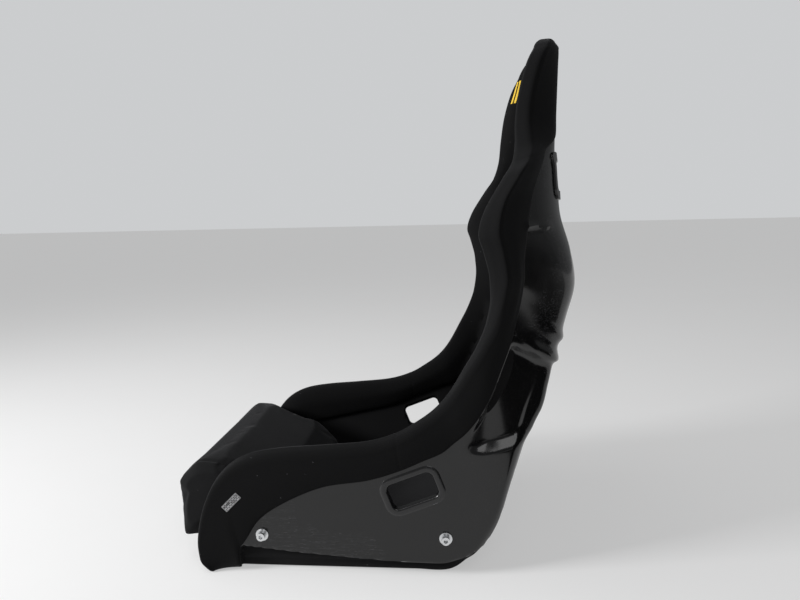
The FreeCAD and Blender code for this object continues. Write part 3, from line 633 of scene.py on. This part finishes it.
def shellSkin():
    # a fine outer skin and a coarser inner one, joined round the edges and across both ends
    detail = shellDetail
    section = sectionsAt(shellPlaces())
    counts = detail["wallColumns"], detail["cornerColumns"], detail["backColumns"]
    outer = mouldedLayer(section, counts, 0.0)
    inner = mouldedLayer(section, counts, shellSizes["wall"])[:, ::2][:, ::-1]
    rings = np.concatenate([outer, inner], 1)
    rings[..., 2] = np.maximum(rings[..., 2], 0.0)
    rows, columns = rings.shape[:2]
    faces = gridFaces(rows, columns, True)
    for first in (0, (rows - 1) * columns):
        last = first + columns - 1
        faces += [[first + 2 * i, first + 2 * i + 1, first + 2 * i + 2, last - 1 - i, last - i]
                  for i in range(inner.shape[1] - 1)]
    return makeObject("shellSkin", rings.reshape(-1, 3), faces, detail["sharp"])


def shadedBareUnderside(piece):
    # faces under the side panel's edge, and the flat base, get a dark, dull material that reflects
    # little: bare laminate without gel coat, and painted shade where the seat's own shadow falls
    detail = shellDetail
    middles = np.empty(len(piece.data.polygons) * 3)
    piece.data.polygons.foreach_get("center", middles)
    y, z = middles.reshape(-1, 3).T[1:]
    crease = sideLine(y, "creaseY", "creaseZ")
    under = (z < crease - detail["shadeBelow"]) & (z < detail["shadeTop"]) & (y < detail["shadeBack"])
    piece.data.materials.append(materials["laminateAndShade"])
    piece.data.polygons.foreach_set("material_index", under.astype(int))


def roundedOutline(length, height, radius, perCorner=10):
    # a rounded rectangle, anticlockwise: a quarter circle about each corner's centre
    angle = np.linspace(0, math.pi / 2, perCorner)
    pieces = []
    for turn, (sideX, sideY) in enumerate(((1, 1), (-1, 1), (-1, -1), (1, -1))):
        around = angle + turn * math.pi / 2
        pieces.append(np.stack([sideX * (length / 2 - radius) + radius * np.cos(around),
                                sideY * (height / 2 - radius) + radius * np.sin(around)], -1))
    return np.concatenate(pieces)


slotSizes = {
    "lap": {"length": 74 * mm, "height": 40 * mm, "tilt": math.radians(21)},
    "harness": {"length": 74 * mm, "height": 46 * mm,
                "tilt": math.radians(7), "turn": math.radians(9)},
    "crotch": {"length": 80 * mm, "height": 26 * mm, "tilt": 0.0},
    "corner": 9 * mm, "sleeve": 2 * mm, "border": 13 * mm, "cutDepth": 30 * mm, "clothCut": 3 * mm,
}


def middleOf(node):
    low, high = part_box(node)
    return Vector((low[0] + high[0], low[1] + high[1], low[2] + high[2])) / 2


def slotFrames():
    # where each slot is: its middle in the wall, its long axis, its short axis and its outward axis
    found = []
    for side, word in ((1, "left"), (-1, "right")):
        tilt = slotSizes["lap"]["tilt"]
        found.append(("lap", word, middleOf("lap_slot_bezel_" + word),
                      Vector((0, math.cos(tilt), math.sin(tilt))),
                      Vector((0, -math.sin(tilt), math.cos(tilt))), Vector((side, 0, 0))))
        tilt, turn = slotSizes["harness"]["tilt"], side * slotSizes["harness"]["turn"]
        spin = Matrix.Rotation(-turn, 3, "Z")
        found.append(("harness", word, middleOf("harness_bezel_" + word), spin @ Vector((1, 0, 0)),
                      spin @ Vector((0, -math.sin(tilt), math.cos(tilt))),
                      spin @ Vector((0, math.cos(tilt), math.sin(tilt)))))
    found.append(("crotch", "middle", middleOf("crotch_slot_bezel"), Vector((1, 0, 0)),
                  Vector((0, 1, 0)), Vector((0, 0, 1))))
    return found


def slotLoop(slotFrame, grow, lift, perCorner=10):
    # the slot's outline grown by an offset, laid in its own axes at a height over its middle
    kind, word, middle, long, short, out = slotFrame
    sizes = slotSizes[kind]
    outline = roundedOutline(sizes["length"] + 2 * grow, sizes["height"] + 2 * grow,
                             slotSizes["corner"] + grow, perCorner)
    return (outline[:, :1] * np.array(long) + outline[:, 1:] * np.array(short)
            + np.array(middle) + lift * np.array(out))


def slotCutter(slotFrame, grow):
    # a straight plug through the wall, as wide as the slot grown by an offset
    depth = slotSizes["cutDepth"]
    rings = np.stack([slotLoop(slotFrame, grow, lift) for lift in (-depth, depth)])
    return ringPiece("slotCutter", rings, smoothAngle=0)


def cutSlots(piece, grow, kinds=("lap", "harness", "crotch")):
    # the plugs of the wanted kinds are taken out of a piece
    cutters = []
    for slotFrame in slotFrames():
        if slotFrame[0] not in kinds:
            continue
        cutters.append(slotCutter(slotFrame, grow))
        modifier = piece.modifiers.new("slot", "BOOLEAN")
        modifier.operation = "DIFFERENCE"
        modifier.solver = "EXACT"
        modifier.object = cutters[-1]
    bakeModifiers(piece)
    for cutter in cutters:
        bpy.data.objects.remove(cutter)
    return piece


def bakeModifiers(piece):
    graph = bpy.context.evaluated_depsgraph_get()
    mesh = bpy.data.meshes.new_from_object(piece.evaluated_get(graph))
    piece.modifiers.clear()
    piece.data = mesh
    return piece


shell = cutSlots(shellSkin(), slotSizes["sleeve"] + shellSizes["gap"])
shell.data.set_sharp_from_angle(angle=math.radians(shellDetail["sharp"]))
finishPiece(shell, "root", materials["shell"], ["shell"])
# the underside below the panel's edge is darkened as painted shade
shadedBareUnderside(shell)
print("shell made:", len(shell.data.polygons), "faces")

# bolster covers
coverDetail = {
    "rowsPerSpan": 10, "columns": 52, "skin": 1.8 * mm, "seamPinch": 0.25 * mm, "seamReach": 2.5 * mm,
    "closeRows": (0.0, 0.0048, 0.0144, 0.03, 0.06), "crispRise": 2.5, "crispFall": 2.0,
    "edgeFrom": "waist", "edgeTo": "neck high", "domeRows": 7, "domeDepth": 7 * mm, "domeTip": 0.12,
    "crownRows": 22, "crownOut": 14 * mm, "crownIn": 32 * mm, "crownPadding": 15 * mm,
    "crownLeave": 0.9, "crownArrive": 1.1, "footHeight": 0.5 * mm, "sharp": 50,
}


def profileRows(pairs, like):
    # pairs of numbers or columns, all made as long as one column: row, point, down and outward
    return np.stack([np.stack(np.broadcast_arrays(*pair, like)[:2], -1)[:, 0] for pair in pairs], 1)


def bolsterProfile(out, down, pad, crisp, swell):
    # the outside of a bolster from its outer foot over the rim to its inner foot, as pairs of
    # how far down from the shell's edge and how far out of its skin. Crisp squares its outer corner
    wall, roll, gap = shellSizes["wall"], shellSizes["rimRoll"], shellSizes["gap"]
    skin = swell + coverDetail["skin"]
    diagonal = 0.7 * skin
    soft = 1 - crisp
    outside = profileRows([
        (out + 1.5 * mm, 0.4 * mm),
        (out + 0.5 * mm, 1.8 * mm + 0.5 * swell),
        (out - 5 * mm, 1.6 * mm + skin),
        (out / 2, 4.6 * mm + skin),
        ((0.12 * soft + 0.04 * crisp) * out, 5.4 * mm + skin),
        (-(0.20 * soft + 0.55 * crisp) * roll, (5.2 * soft + 5.6 * crisp) * mm + skin),
        (-(0.66 * soft + 0.96 * crisp) * roll - diagonal, (1.6 * soft + 4.2 * crisp) * mm + diagonal),
        (-roll + (1.6 * soft + 0.4 * crisp) * mm - skin, -wall * soft - 0.30 * pad),
        (-(0.86 * soft + 0.9 * crisp) * roll - skin, -wall - 0.62 * pad),
        (-0.46 * roll - diagonal, -wall - 0.94 * pad - diagonal),
        (0.30 * down, -wall - pad - 2 * mm - skin),
        (0.72 * down, -wall - 0.82 * pad - skin),
        (down, -wall - 0.5 * pad - skin),
        (down + 4 * mm, -wall - 0.28 * pad),
        (down + 4.5 * mm, -wall - 1 * mm),
    ], out)
    inside = profileRows([(down, -wall - gap), (down / 2, -wall - gap), (-gap, -wall - gap),
                          (-gap, gap), (out / 2, gap), (out, gap)], out)
    return np.concatenate([splineThrough(outside, coverDetail["columns"]), inside], 1)


def onSkin(section, down, outward):
    # down the wall, and on round the corner once the straight of the wall is used up
    over = np.maximum(down - section["straight"], 0)
    share = 1 - np.minimum(over / (section["cornerRadius"] * section["lean"]), 1)
    return np.where((over > 0)[..., None], onCorner(section, share, outward),
                    onWall(section, down, outward))


def coverSection(place):
    # the section with how far the cover reaches outside and inside, and how square its edge is
    section = sectionsAt(place)
    out = coverReach(section)
    down = section["straight"] * section["down"]
    detail = coverDetail
    first, last = placeOf(detail["edgeFrom"]), placeOf(detail["edgeTo"])
    crisp = smooth(place, first, first + detail["crispRise"])
    crisp = crisp * (1 - smooth(place, last - detail["crispFall"], last))
    return section, out, down, crisp[:, None]


def coverRings(first, last, side, pinchFirst=True, pinchLast=True):
    # the bolster's profile at every place between two stations, pinched in at its seams
    low, high = placeOf(first), placeOf(last)
    place = np.linspace(low, high, int((high - low) * coverDetail["rowsPerSpan"]) + 1)
    ends = np.array(coverDetail["closeRows"])
    place = np.unique(np.concatenate([place, low + ends, high - ends]))
    section, out, down, crisp = coverSection(place)
    spine = toSpace(section, onWall(section, 0.0, 0.0))[:, 0]
    run = np.concatenate([[0], np.cumsum(np.linalg.norm(np.diff(spine, axis=0), axis=1))])
    swell = np.zeros(len(place))
    for active, distance in ((pinchFirst, run), (pinchLast, run[-1] - run)):
        if active:
            swell -= coverDetail["seamPinch"] * np.exp(-(distance / coverDetail["seamReach"]) ** 2)
    profile = bolsterProfile(out, down, section["padding"], crisp, swell[:, None])
    # inside the shell the cover follows the skin's moves, so that it stays behind the sunk waist
    skin = toSpace(section, onSkin(section, profile[..., 0], 0.0))
    profile[..., 1] += shellDisplacement(skin, profile[..., 0] - out)
    return toSpace(section, onSkin(section, profile[..., 0], profile[..., 1]), side)


def domedRings(rings, depth, rows):
    # the first ring shrinks to its own middle while it moves ahead, like the end of a finger
    middle = rings[0].mean(0)
    ahead = rings[0].mean(0) - rings[1].mean(0)
    ahead = ahead / np.linalg.norm(ahead)
    angle = np.linspace(math.pi / 2, 0, rows + 1)[:-1][:, None, None]
    tip = coverDetail["domeTip"]
    shrunk = middle + (rings[0] - middle)[None] * (tip + (1 - tip) * np.cos(angle))
    return np.concatenate([shrunk + ahead * depth * np.sin(angle), rings])


def bolsterCover(name, rings, nodes):
    # rings that never go below the floor, skinned and given the bolster velour
    rings[..., 2] = np.maximum(rings[..., 2], coverDetail["footHeight"])
    piece = ringPiece(name, rings, smoothAngle=coverDetail["sharp"])
    return finishPiece(piece, "root", materials["velour"], nodes)


def crownRings(sideRings):
    # every point of the last side ring runs on to the matching point of the ring over the crown,
    # along a Hermite curve that leaves the ear in its own direction and crosses the middle level
    detail, shellTop = coverDetail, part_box("shell")[1][2]
    values = (detail["crownOut"], detail["crownIn"], detail["crownPadding"], 0.0, 0.0)
    down, outward = bolsterProfile(*np.array(values)[:, None, None])[0].T
    back = seatStations["crown"][0] * mm
    middle = np.stack([np.zeros(len(down)), back + outward, shellTop - down], -1)
    start = sideRings[-1]
    leaving = sideRings[-1] - sideRings[-2]
    leaving = leaving.mean(0) / np.linalg.norm(leaving.mean(0))
    reach = np.linalg.norm(middle - start, axis=1, keepdims=True)
    share = np.linspace(0, 1, detail["crownRows"])[1:, None, None]
    square, cube = share ** 2, share ** 3
    leaving = detail["crownLeave"] * leaving
    arriving = detail["crownArrive"] * np.array([-1.0, 0.0, 0.0])
    return ((2 * cube - 3 * square + 1) * start + (cube - 2 * square + share) * reach * leaving
            + (3 * square - 2 * cube) * middle + (cube - square) * reach * arriving)


for side, word, label in ((1, "left", "Left"), (-1, "right", "Right")):
    rings = coverRings("tip", "hip", side, pinchFirst=False)
    rings = domedRings(rings, coverDetail["domeDepth"], coverDetail["domeRows"])
    bolsterCover("thighCover" + label, rings, [f"thigh_cover_{word}", f"thigh_foam_{word}"])
    bolsterCover("torsoCover" + label, coverRings("hip", "neck", side),
                 [f"torso_cover_{word}", f"torso_foam_{word}", f"shoulder_foam_{word}"])
leftEar = coverRings("neck", "crown low", 1, pinchLast=False)
halfHead = np.concatenate([leftEar, crownRings(leftEar)])
otherHead = halfHead[::-1] * np.array([-1, 1, 1])
bolsterCover("headCover", np.concatenate([halfHead, otherHead[1:]]),
             ["head_cover_left", "head_cover_right", "head_foam_left", "head_foam_right", "crown_pad"])
print("bolster covers made")

# linings
liningDetail = {"rowsPerSpan": 9, "columns": (16, 12, 20), "underCover": 2.5 * mm}


def liningPiece(name, first, last, nodes):
    # a layer of cloth just inside the shell, which follows the shell's own moves
    low, high = placeOf(first), placeOf(last)
    place = np.linspace(low, high, int((high - low) * liningDetail["rowsPerSpan"]) + 1)
    section = sectionsAt(place)
    down = section["straight"] * section["down"] + liningDetail["underCover"]
    depth = shellSizes["wall"] + shellSizes["gap"]
    outer, inner = (mouldedLayer(section, liningDetail["columns"], deep, down)
                    for deep in (depth, depth + shellSizes["lining"]))
    piece = ringPiece(name, np.concatenate([outer, inner[:, ::-1]], 1), bandCaps=True)
    return finishPiece(piece, "root", materials["lining"], nodes)


panLining = liningPiece("panLining", "nose", "tail", ["pan_lining"])
backLining = liningPiece("backLining", "tail", "neck", ["back_lining"])
liningPiece("headLining", "neck", "crown low", ["head_lining"])
cutSlots(panLining, slotSizes["clothCut"], ("lap", "crotch"))
cutSlots(backLining, slotSizes["clothCut"], ("harness",))
print("linings made")


# loose cushions, swollen by a cloth simulation
cushionDetail = {
    "voxel": 5 * mm, "frames": 20, "smoothing": 8, "growth": 1.5 * mm,
    "noseDrop": 11 * mm, "noseFront": (225 * mm, 245 * mm), "noseTop": (90 * mm, 140 * mm),
    "noseOut": 5 * mm, "noseRun": (200 * mm, 290 * mm),
    "headWings": 9 * mm, "wingRun": (25 * mm, 70 * mm),
    "seamInset": 11 * mm, "seamWidth": 2.6 * mm, "seamDepth": 2.2 * mm,
    "thighCushion": {"node": "thigh_cushion", "shrink": 1.5 * mm, "pressure": 4.0, "cap": 6 * mm,
                     "rest": (0, 0, -1)},
    "seatCushion": {"node": "seat_cushion", "shrink": 4 * mm, "pressure": 4.0, "cap": 7 * mm,
                    "rest": (0, 0, -1)},
    "backCushion": {"node": "back_cushion", "shrink": 3 * mm, "pressure": 3.0, "cap": 6 * mm,
                    "rest": (0, 1, 0)},
    "headPad": {"node": "head_pad", "shrink": 2 * mm, "pressure": 3.0, "cap": 5 * mm,
                "rest": (0, 1, 0)},
}


def meshPoints(mesh):
    points = np.empty(len(mesh.vertices) * 3)
    mesh.vertices.foreach_get("co", points)
    return points.reshape(-1, 3)


def cushionSeams(points, normals, low, high):
    # a sewn seam round each side panel: a dip along the normal, a bell curve across the seam's line
    half, middle = (high[0] - low[0]) / 2, (high[0] + low[0]) / 2
    inset = half - np.abs(points[:, 0] - middle) - cushionDetail["seamInset"]
    dip = cushionDetail["seamDepth"] * np.exp(-(inset / cushionDetail["seamWidth"]) ** 2)
    return points - normals * dip[:, None]


def shapedCushion(name, points):
    # the head pad's wings come forward at its sides, and the thigh cushion's nose hangs down
    detail = cushionDetail
    if name == "headPad":
        points[:, 1] -= detail["headWings"] * smooth(np.abs(points[:, 0]), *detail["wingRun"])
    if name == "thighCushion":
        nose = smooth(-points[:, 1], *detail["noseFront"])
        nose = nose * (1 - smooth(points[:, 2], *detail["noseTop"]))
        points[:, 2] -= detail["noseDrop"] * nose
        points[:, 1] -= detail["noseOut"] * smooth(-points[:, 1], *detail["noseRun"])
    return points


def swollen(piece, pressure):
    # air pressed into the cushion for some frames, with no gravity, then kept as its mesh
    cloth = piece.modifiers.new("swell", "CLOTH")
    cloth.settings.use_pressure = True
    cloth.settings.uniform_pressure_force = pressure
    cloth.settings.effector_weights.gravity = 0
    cloth.collision_settings.use_collision = False
    for step in range(1, cushionDetail["frames"] + 1):
        bpy.context.scene.frame_set(step)
    bakeModifiers(piece)
    bpy.context.scene.frame_set(1)


def softCushion(name, body, material):
    # a copy of the cushion's node, a little smaller, remeshed in even squares and swollen. No point
    # moves more than the cap, nothing moves into what it rests on, and nothing leaves the grown box
    values = cushionDetail[name]
    low, high = (np.array(corner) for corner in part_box(values["node"]))
    piece = bpy.data.objects.new(name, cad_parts[values["node"]].data.copy())
    bpy.context.scene.collection.objects.link(piece)
    faceOutward(piece.data)
    points = shapedCushion(name, meshPoints(piece.data))
    middle = (low + high) / 2
    points = middle + (points - middle) * (1 - 2 * values["shrink"] / (high - low))
    piece.data.vertices.foreach_set("co", points.ravel())
    remesh = piece.modifiers.new("remesh", "REMESH")
    remesh.mode, remesh.voxel_size = "VOXEL", cushionDetail["voxel"]
    soften = piece.modifiers.new("soften", "SMOOTH")
    soften.factor, soften.iterations = 0.5, cushionDetail["smoothing"]
    bakeModifiers(piece)
    start = meshPoints(piece.data)
    swollen(piece, values["pressure"])
    moved = meshPoints(piece.data) - start
    length = np.linalg.norm(moved, axis=1, keepdims=True)
    moved *= np.minimum(1, values["cap"] / np.maximum(length, 1e-9))
    rest = np.array(values["rest"], float)
    moved -= np.maximum(moved @ rest, 0)[:, None] * rest
    piece.data.vertices.foreach_set("co", (start + moved).ravel())
    subdivide = piece.modifiers.new("round", "SUBSURF")
    subdivide.levels = subdivide.render_levels = 1
    bakeModifiers(piece)
    points = meshPoints(piece.data)
    normals = np.empty(len(points) * 3)
    piece.data.vertices.foreach_get("normal", normals)
    points = cushionSeams(points, normals.reshape(-1, 3), low, high)
    lowest, highest = low - cushionDetail["growth"], high + cushionDetail["growth"]
    ahead = {"headPad": cushionDetail["headWings"], "thighCushion": cushionDetail["noseOut"]}
    lowest[1] -= ahead.get(name, 0)
    lowest[rest < 0], highest[rest > 0] = low[rest < 0], high[rest > 0]
    piece.data.vertices.foreach_set("co", np.clip(points, lowest, highest).ravel())
    piece.data.update()
    piece.data.polygons.foreach_set("use_smooth", np.ones(len(piece.data.polygons), bool))
    finishPiece(piece, body, material, [values["node"]])
    return piece


softPieces = {name: softCushion(name, body, materials["cushion"]) for name, body in (
    ("thighCushion", "thigh_cushion"), ("seatCushion", "seat_cushion"),
    ("backCushion", "back_cushion"), ("headPad", "head_pad"))}
print("cushions made")

# belt slot rings
ringDetail = {"height": 3.4 * mm, "sunk": 1.5 * mm, "perCorner": 9, "sleeve": 6 * mm, "sharp": 50}


def slotRing(name, slotFrame, nodes):
    # a rounded moulding carried round the slot: each profile point is an offset from the slot's
    # edge and a height over the panel
    detail = ringDetail
    border, sleeve, height = slotSizes["border"], slotSizes["sleeve"], detail["height"]
    base = -detail["sunk"]
    profile = [
        (border, base + 0.2 * mm), (border - 0.3 * mm, base + 1.3 * mm),
        (border - 1.6 * mm, base + 0.62 * height), (border - 3.6 * mm, base + 0.88 * height),
        (border * 0.55, base + height), (3.4 * mm, base + 0.96 * height),
        (1.6 * mm, base + 0.78 * height), (0.6 * mm, base + 1.0 * mm), (0.15 * mm, base - 1.2 * mm),
        (0, base - detail["sleeve"]), (sleeve, base - detail["sleeve"]), (sleeve, base)]
    loops = [slotLoop(slotFrame, grow, lift, detail["perCorner"]) for grow, lift in profile]
    loops = np.array(loops + loops[:1])
    rows, columns = loops.shape[:2]
    piece = makeObject(name, loops.reshape(-1, 3), gridFaces(rows, columns, True), detail["sharp"])
    return finishPiece(piece, "root", materials["bezel"], nodes)


for slotFrame in slotFrames():
    kind, word = slotFrame[:2]
    if kind == "lap":
        slotRing("lapRing" + word.title(), slotFrame, ["lap_slot_bezel_" + word])
print("slot rings made")

# woven tag and the raised motif on the head pad
tagDetail = {
    "long": 34 * mm, "wide": 12 * mm, "tilt": math.radians(45), "grid": (35, 13),
    "lift": 0.5 * mm, "thick": 0.7 * mm,
}
motifDetail = {
    "across": (18 * mm, 31 * mm, 44 * mm, 57 * mm), "tall": (10 * mm, 13 * mm, 16 * mm, 19 * mm),
    "wide": 6.5 * mm, "slant": 0.2, "middle": 752 * mm, "ahead": 30 * mm, "grid": (7, 25),
    "lift": 0.5 * mm, "thick": 1.0 * mm,
    "earDown": (3 * mm, 11 * mm, 19 * mm), "earWide": 4.5 * mm, "earLean": 7 * mm, "earGrid": (6, 25),
    "earFrom": ("head", 0.55), "earTo": ("head high", 0.75), "earAway": 4 * mm,
}
quarters = ((-1, -1), (1, -1), (1, 1), (-1, 1))


def patchOn(name, corners, counts, target, axis, lift, thick):
    # a thin grid between four corners, blended straight both ways, laid on a soft piece along an
    # axis or on its nearest skin, then given a thickness
    u, v = np.meshgrid(np.linspace(0, 1, counts[0]), np.linspace(0, 1, counts[1]), indexing="ij")
    u, v = u[..., None], v[..., None]
    first, second, third, fourth = (np.array(corner) for corner in corners)
    points = (1 - v) * ((1 - u) * first + u * second) + v * ((1 - u) * fourth + u * third)
    mesh = bpy.data.meshes.new(name)
    mesh.from_pydata(points.reshape(-1, 3), [], gridFaces(counts[0], counts[1], False))
    uvs = np.stack([u[..., 0].ravel(), v[..., 0].ravel()], -1)
    layer = mesh.uv_layers.new(name="weave")
    corner = np.empty(len(mesh.loops), int)
    mesh.loops.foreach_get("vertex_index", corner)
    layer.data.foreach_set("uv", uvs[corner].ravel())
    piece = bpy.data.objects.new(name, mesh)
    bpy.context.scene.collection.objects.link(piece)
    wrap = piece.modifiers.new("lay", "SHRINKWRAP")
    wrap.target, wrap.offset, wrap.wrap_mode = target, lift, "ABOVE_SURFACE"
    wrap.wrap_method = "PROJECT" if axis else "NEAREST_SURFACEPOINT"
    wrap.use_project_x, wrap.use_project_y, wrap.use_project_z = axis == "x", axis == "y", False
    wrap.use_negative_direction = wrap.use_positive_direction = True
    bakeModifiers(piece)
    body = piece.modifiers.new("thicken", "SOLIDIFY")
    body.thickness, body.offset = thick, 1.0
    bakeModifiers(piece)
    faceOutward(piece.data)
    piece.data.polygons.foreach_set("use_smooth", np.ones(len(piece.data.polygons), bool))
    piece.data.set_sharp_from_angle(angle=math.radians(50))
    return piece


def wovenTag():
    # a rectangle about the node's middle, tilted up toward the back
    detail = tagDetail
    middle = middleOf("woven_tag")
    tiltCos, tiltSin = math.cos(detail["tilt"]), math.sin(detail["tilt"])
    along = Vector((0, tiltCos, tiltSin)) * detail["long"] / 2
    across = Vector((0, -tiltSin, tiltCos)) * detail["wide"] / 2
    corners = [middle + a * along + b * across for a, b in quarters]
    piece = patchOn("wovenTag", corners, detail["grid"], bpy.data.objects["thighCoverLeft"], "x",
                    detail["lift"], detail["thick"])
    return finishPiece(piece, "root", materials["tag"], ["woven_tag"])


def headMotif():
    # slanted bars of satin stitch on both sides of the middle, longer the further out they are
    detail, bars = motifDetail, []
    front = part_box("head_embroidery")[0][1] - detail["ahead"]
    for side in (-1, 1):
        for centre, tall in zip(detail["across"], detail["tall"]):
            lean = side * detail["slant"] * tall
            corners = [(side * centre + a * detail["wide"] / 2 + b * lean, front,
                        detail["middle"] + b * tall) for a, b in quarters]
            bars.append(patchOn("motifBar", corners, detail["grid"], softPieces["headPad"], "y",
                                detail["lift"], detail["thick"]))
    return joinedBars("headMotif", bars, "head_pad", ["head_embroidery"])


def earMotif(side, label):
    # three slanted bars on the inside of an ear, placed along its own skin
    detail, bars = motifDetail, []
    ends = detail["earFrom"], detail["earTo"]
    section = sectionsAt(np.array([placeOf(name) + share for name, share in ends]))
    ways = np.array([[-1, 1]])
    across = ways * detail["earWide"] / 2 - ways.T * detail["earLean"] / 2
    outward = -shellSizes["wall"] - section["padding"] - detail["earAway"]
    for down in detail["earDown"]:
        ends = toSpace(section, onWall(section, down + across, outward), side)
        corners = [ends[0, 0], ends[0, 1], ends[1, 1], ends[1, 0]]
        bars.append(patchOn("earBar", corners, detail["earGrid"], bpy.data.objects["headCover"], "",
                            detail["lift"], detail["thick"]))
    return joinedBars("earMotif" + label, bars, "root", [])


def joinedBars(name, bars, body, nodes):
    # separate bars put together as one object
    first, others = bars[0], bars[1:]
    work = bmesh.new()
    for bar in bars:
        work.from_mesh(bar.data)
    work.to_mesh(first.data)
    work.free()
    for bar in others:
        bpy.data.objects.remove(bar)
    first.name = name
    first.data.polygons.foreach_set("use_smooth", np.ones(len(first.data.polygons), bool))
    return finishPiece(first, body, materials["yellow"], nodes)


wovenTag()
headMotif()
for side, label in ((1, "Left"), (-1, "Right")):
    earMotif(side, label)
print("tag and motif made")

# CAD nodes that stay get their finish here
keptFinish = {
    "zinc": ("mount_screws", "mount_washers", "mount_inserts"),
    "bezel": ("lap_slot_retainer_left", "lap_slot_retainer_right", "harness_bezel_left",
              "harness_bezel_right", "harness_retainer_left", "harness_retainer_right",
              "crotch_slot_bezel"),
    "tape": ("back_hook_strips", "back_loop_strips", "head_hook_strips", "head_loop_strips",
             "pan_hook_strips", "thigh_loop_strips", "seat_loop_strips"),
}
for finish, names in keptFinish.items():
    for name in names:
        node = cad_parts[name]
        node.data.materials.clear()
        node.data.materials.append(materials[finish])
print("kept nodes finished")

# floor, light and camera
studio = {
    "floorTone": (0.42, 0.42, 0.42, 1), "floorGlow": 0.42, "floorSize": 60.0, "floorMottle": 0.95,
    "worldTone": (0.60, 0.61, 0.62, 1), "worldStrength": 0.28,
    "screenTone": (0.004, 0.004, 0.004, 1),
}
# each light: place, target, size and power
studioLights = {
    "ceilingPanel": ((0.2, -0.9, 2.5), (0, 0.1, 0.3), 1.6, 15),
    "overheadLamp": ((2.1, 0.75, 2.2), (0.2, 0.2, 0.3), 1.3, 13),
    "frontSide": ((1.0, -2.3, 1.25), (0.1, 0.15, 0.5), 0.7, 85),
}
# each dark screen: place, target and size
darkScreens = {
    "roomScreen": ((0.55, 1.05, 0.45), (0.1, 0.25, 0.42), 1.35),
    # the floor screen is a painted shadow: a dark sheet on the floor where the seat's shadow lies, seen
    # only in reflections
    "floorShadowScreen": ((1.0, 1.15, 0.004), (1.0, 1.15, 1), 1.4),
}


def squarePiece(name, half):
    corners = [(-half, -half, 0), (half, -half, 0), (half, half, 0), (-half, half, 0)]
    return makeObject(name, corners, [(0, 1, 2, 3)], 0)


def studioFloor():
    # a plain square at height 0, a little mottled
    floor = squarePiece("floor", studio["floorSize"])
    material, nodes, links, shader = newMaterial(
        "paleFloor", Roughness=0.55, Emission_Color=(1, 1, 1, 1),
        Emission_Strength=studio["floorGlow"])
    place = nodes.new("ShaderNodeTexCoord")
    mottle = noiseNode(nodes, links, place.outputs["Object"], 2.5, 5, 0.6)
    tone = studio["floorTone"]
    darker = toned(studio["floorMottle"], tone[:3])
    links.new(mixColour(nodes, links, mottle, darker, tone), shader.inputs["Base Color"])
    floor.data.materials.append(material)


def softLight(name, place, target, size, power):
    # a square lamp that faces its target
    light = bpy.data.lights.new(name, "AREA")
    light.shape = "RECTANGLE"
    light.size = light.size_y = size
    light.energy = power
    holder = bpy.data.objects.new(name, light)
    bpy.context.scene.collection.objects.link(holder)
    holder.location = place
    holder.rotation_euler = (Vector(target) - Vector(place)).to_track_quat("-Z", "Y").to_euler()


def studioWorld():
    # the backdrop looks pale, while a dimmer room lights the seat
    world = bpy.data.worlds.new("studio")
    world.use_nodes = True
    nodes, links = world.node_tree.nodes, world.node_tree.links
    background = nodes["Background"]
    background.inputs["Color"].default_value = studio["worldTone"]
    path, dim = nodes.new("ShaderNodeLightPath"), studio["worldStrength"]
    strength = mathNode(nodes, links, "MULTIPLY_ADD", path.outputs["Is Camera Ray"], 1 - dim, dim)
    links.new(strength, background.inputs["Strength"])
    bpy.context.scene.world = world


def darkScreen(name, place, target, size):
    # a black screen out of view, seen only in the gloss: the dark side of the room, and, laid on the
    # floor, a painted shadow for the gloss to reflect
    screen = squarePiece(name, size / 2)
    turn = (Vector(target) - Vector(place)).to_track_quat("-Z", "Y").to_matrix().to_4x4()
    screen.data.transform(Matrix.Translation(place) @ turn)
    material, nodes, links, shader = newMaterial(name, Base_Color=studio["screenTone"], Roughness=1.0)
    screen.data.materials.append(material)
    screen.visible_camera = False
    screen.visible_shadow = False
    screen.visible_diffuse = False


# where the camera stands, how it turns in degrees, and its lens in millimetres on a 36 mm sensor
cameraFacts = {"place": (1.0736, 0.1563, 0.5539), "yaw": 4.86, "pitch": 7.58, "roll": -1.25,
               "lens": 27.05, "sensor": 36, "near": 0.01}


def seatCamera():
    # it looks at the seat's left side, turned by yaw, then tipped down by pitch, then rolled
    yaw, pitch, roll = (math.radians(cameraFacts[key]) for key in ("yaw", "pitch", "roll"))
    spin = Matrix.Rotation(yaw, 3, "Z")
    ahead, right, up = spin @ Vector((-1, 0, 0)), spin @ Vector((0, 1, 0)), Vector((0, 0, 1))
    look = ahead * math.cos(pitch) - up * math.sin(pitch)
    top = up * math.cos(pitch) + ahead * math.sin(pitch)
    across = right * math.cos(roll) + top * math.sin(roll)
    above = top * math.cos(roll) - right * math.sin(roll)
    camera = bpy.data.objects.new("camera", bpy.data.cameras.new("camera"))
    bpy.context.scene.collection.objects.link(camera)
    camera.data.lens = cameraFacts["lens"]
    camera.data.sensor_width = cameraFacts["sensor"]
    camera.data.clip_start = cameraFacts["near"]
    turned = Matrix((across, above, -look)).transposed()
    camera.matrix_world = Matrix.Translation(cameraFacts["place"]) @ turned.to_4x4()
    bpy.context.scene.camera = camera


studioFloor()
studioWorld()
for name, values in studioLights.items():
    softLight(name, *values)
for name, values in darkScreens.items():
    darkScreen(name, *values)
seatCamera()
bpy.context.scene.view_settings.view_transform = "Standard"
print("studio made")
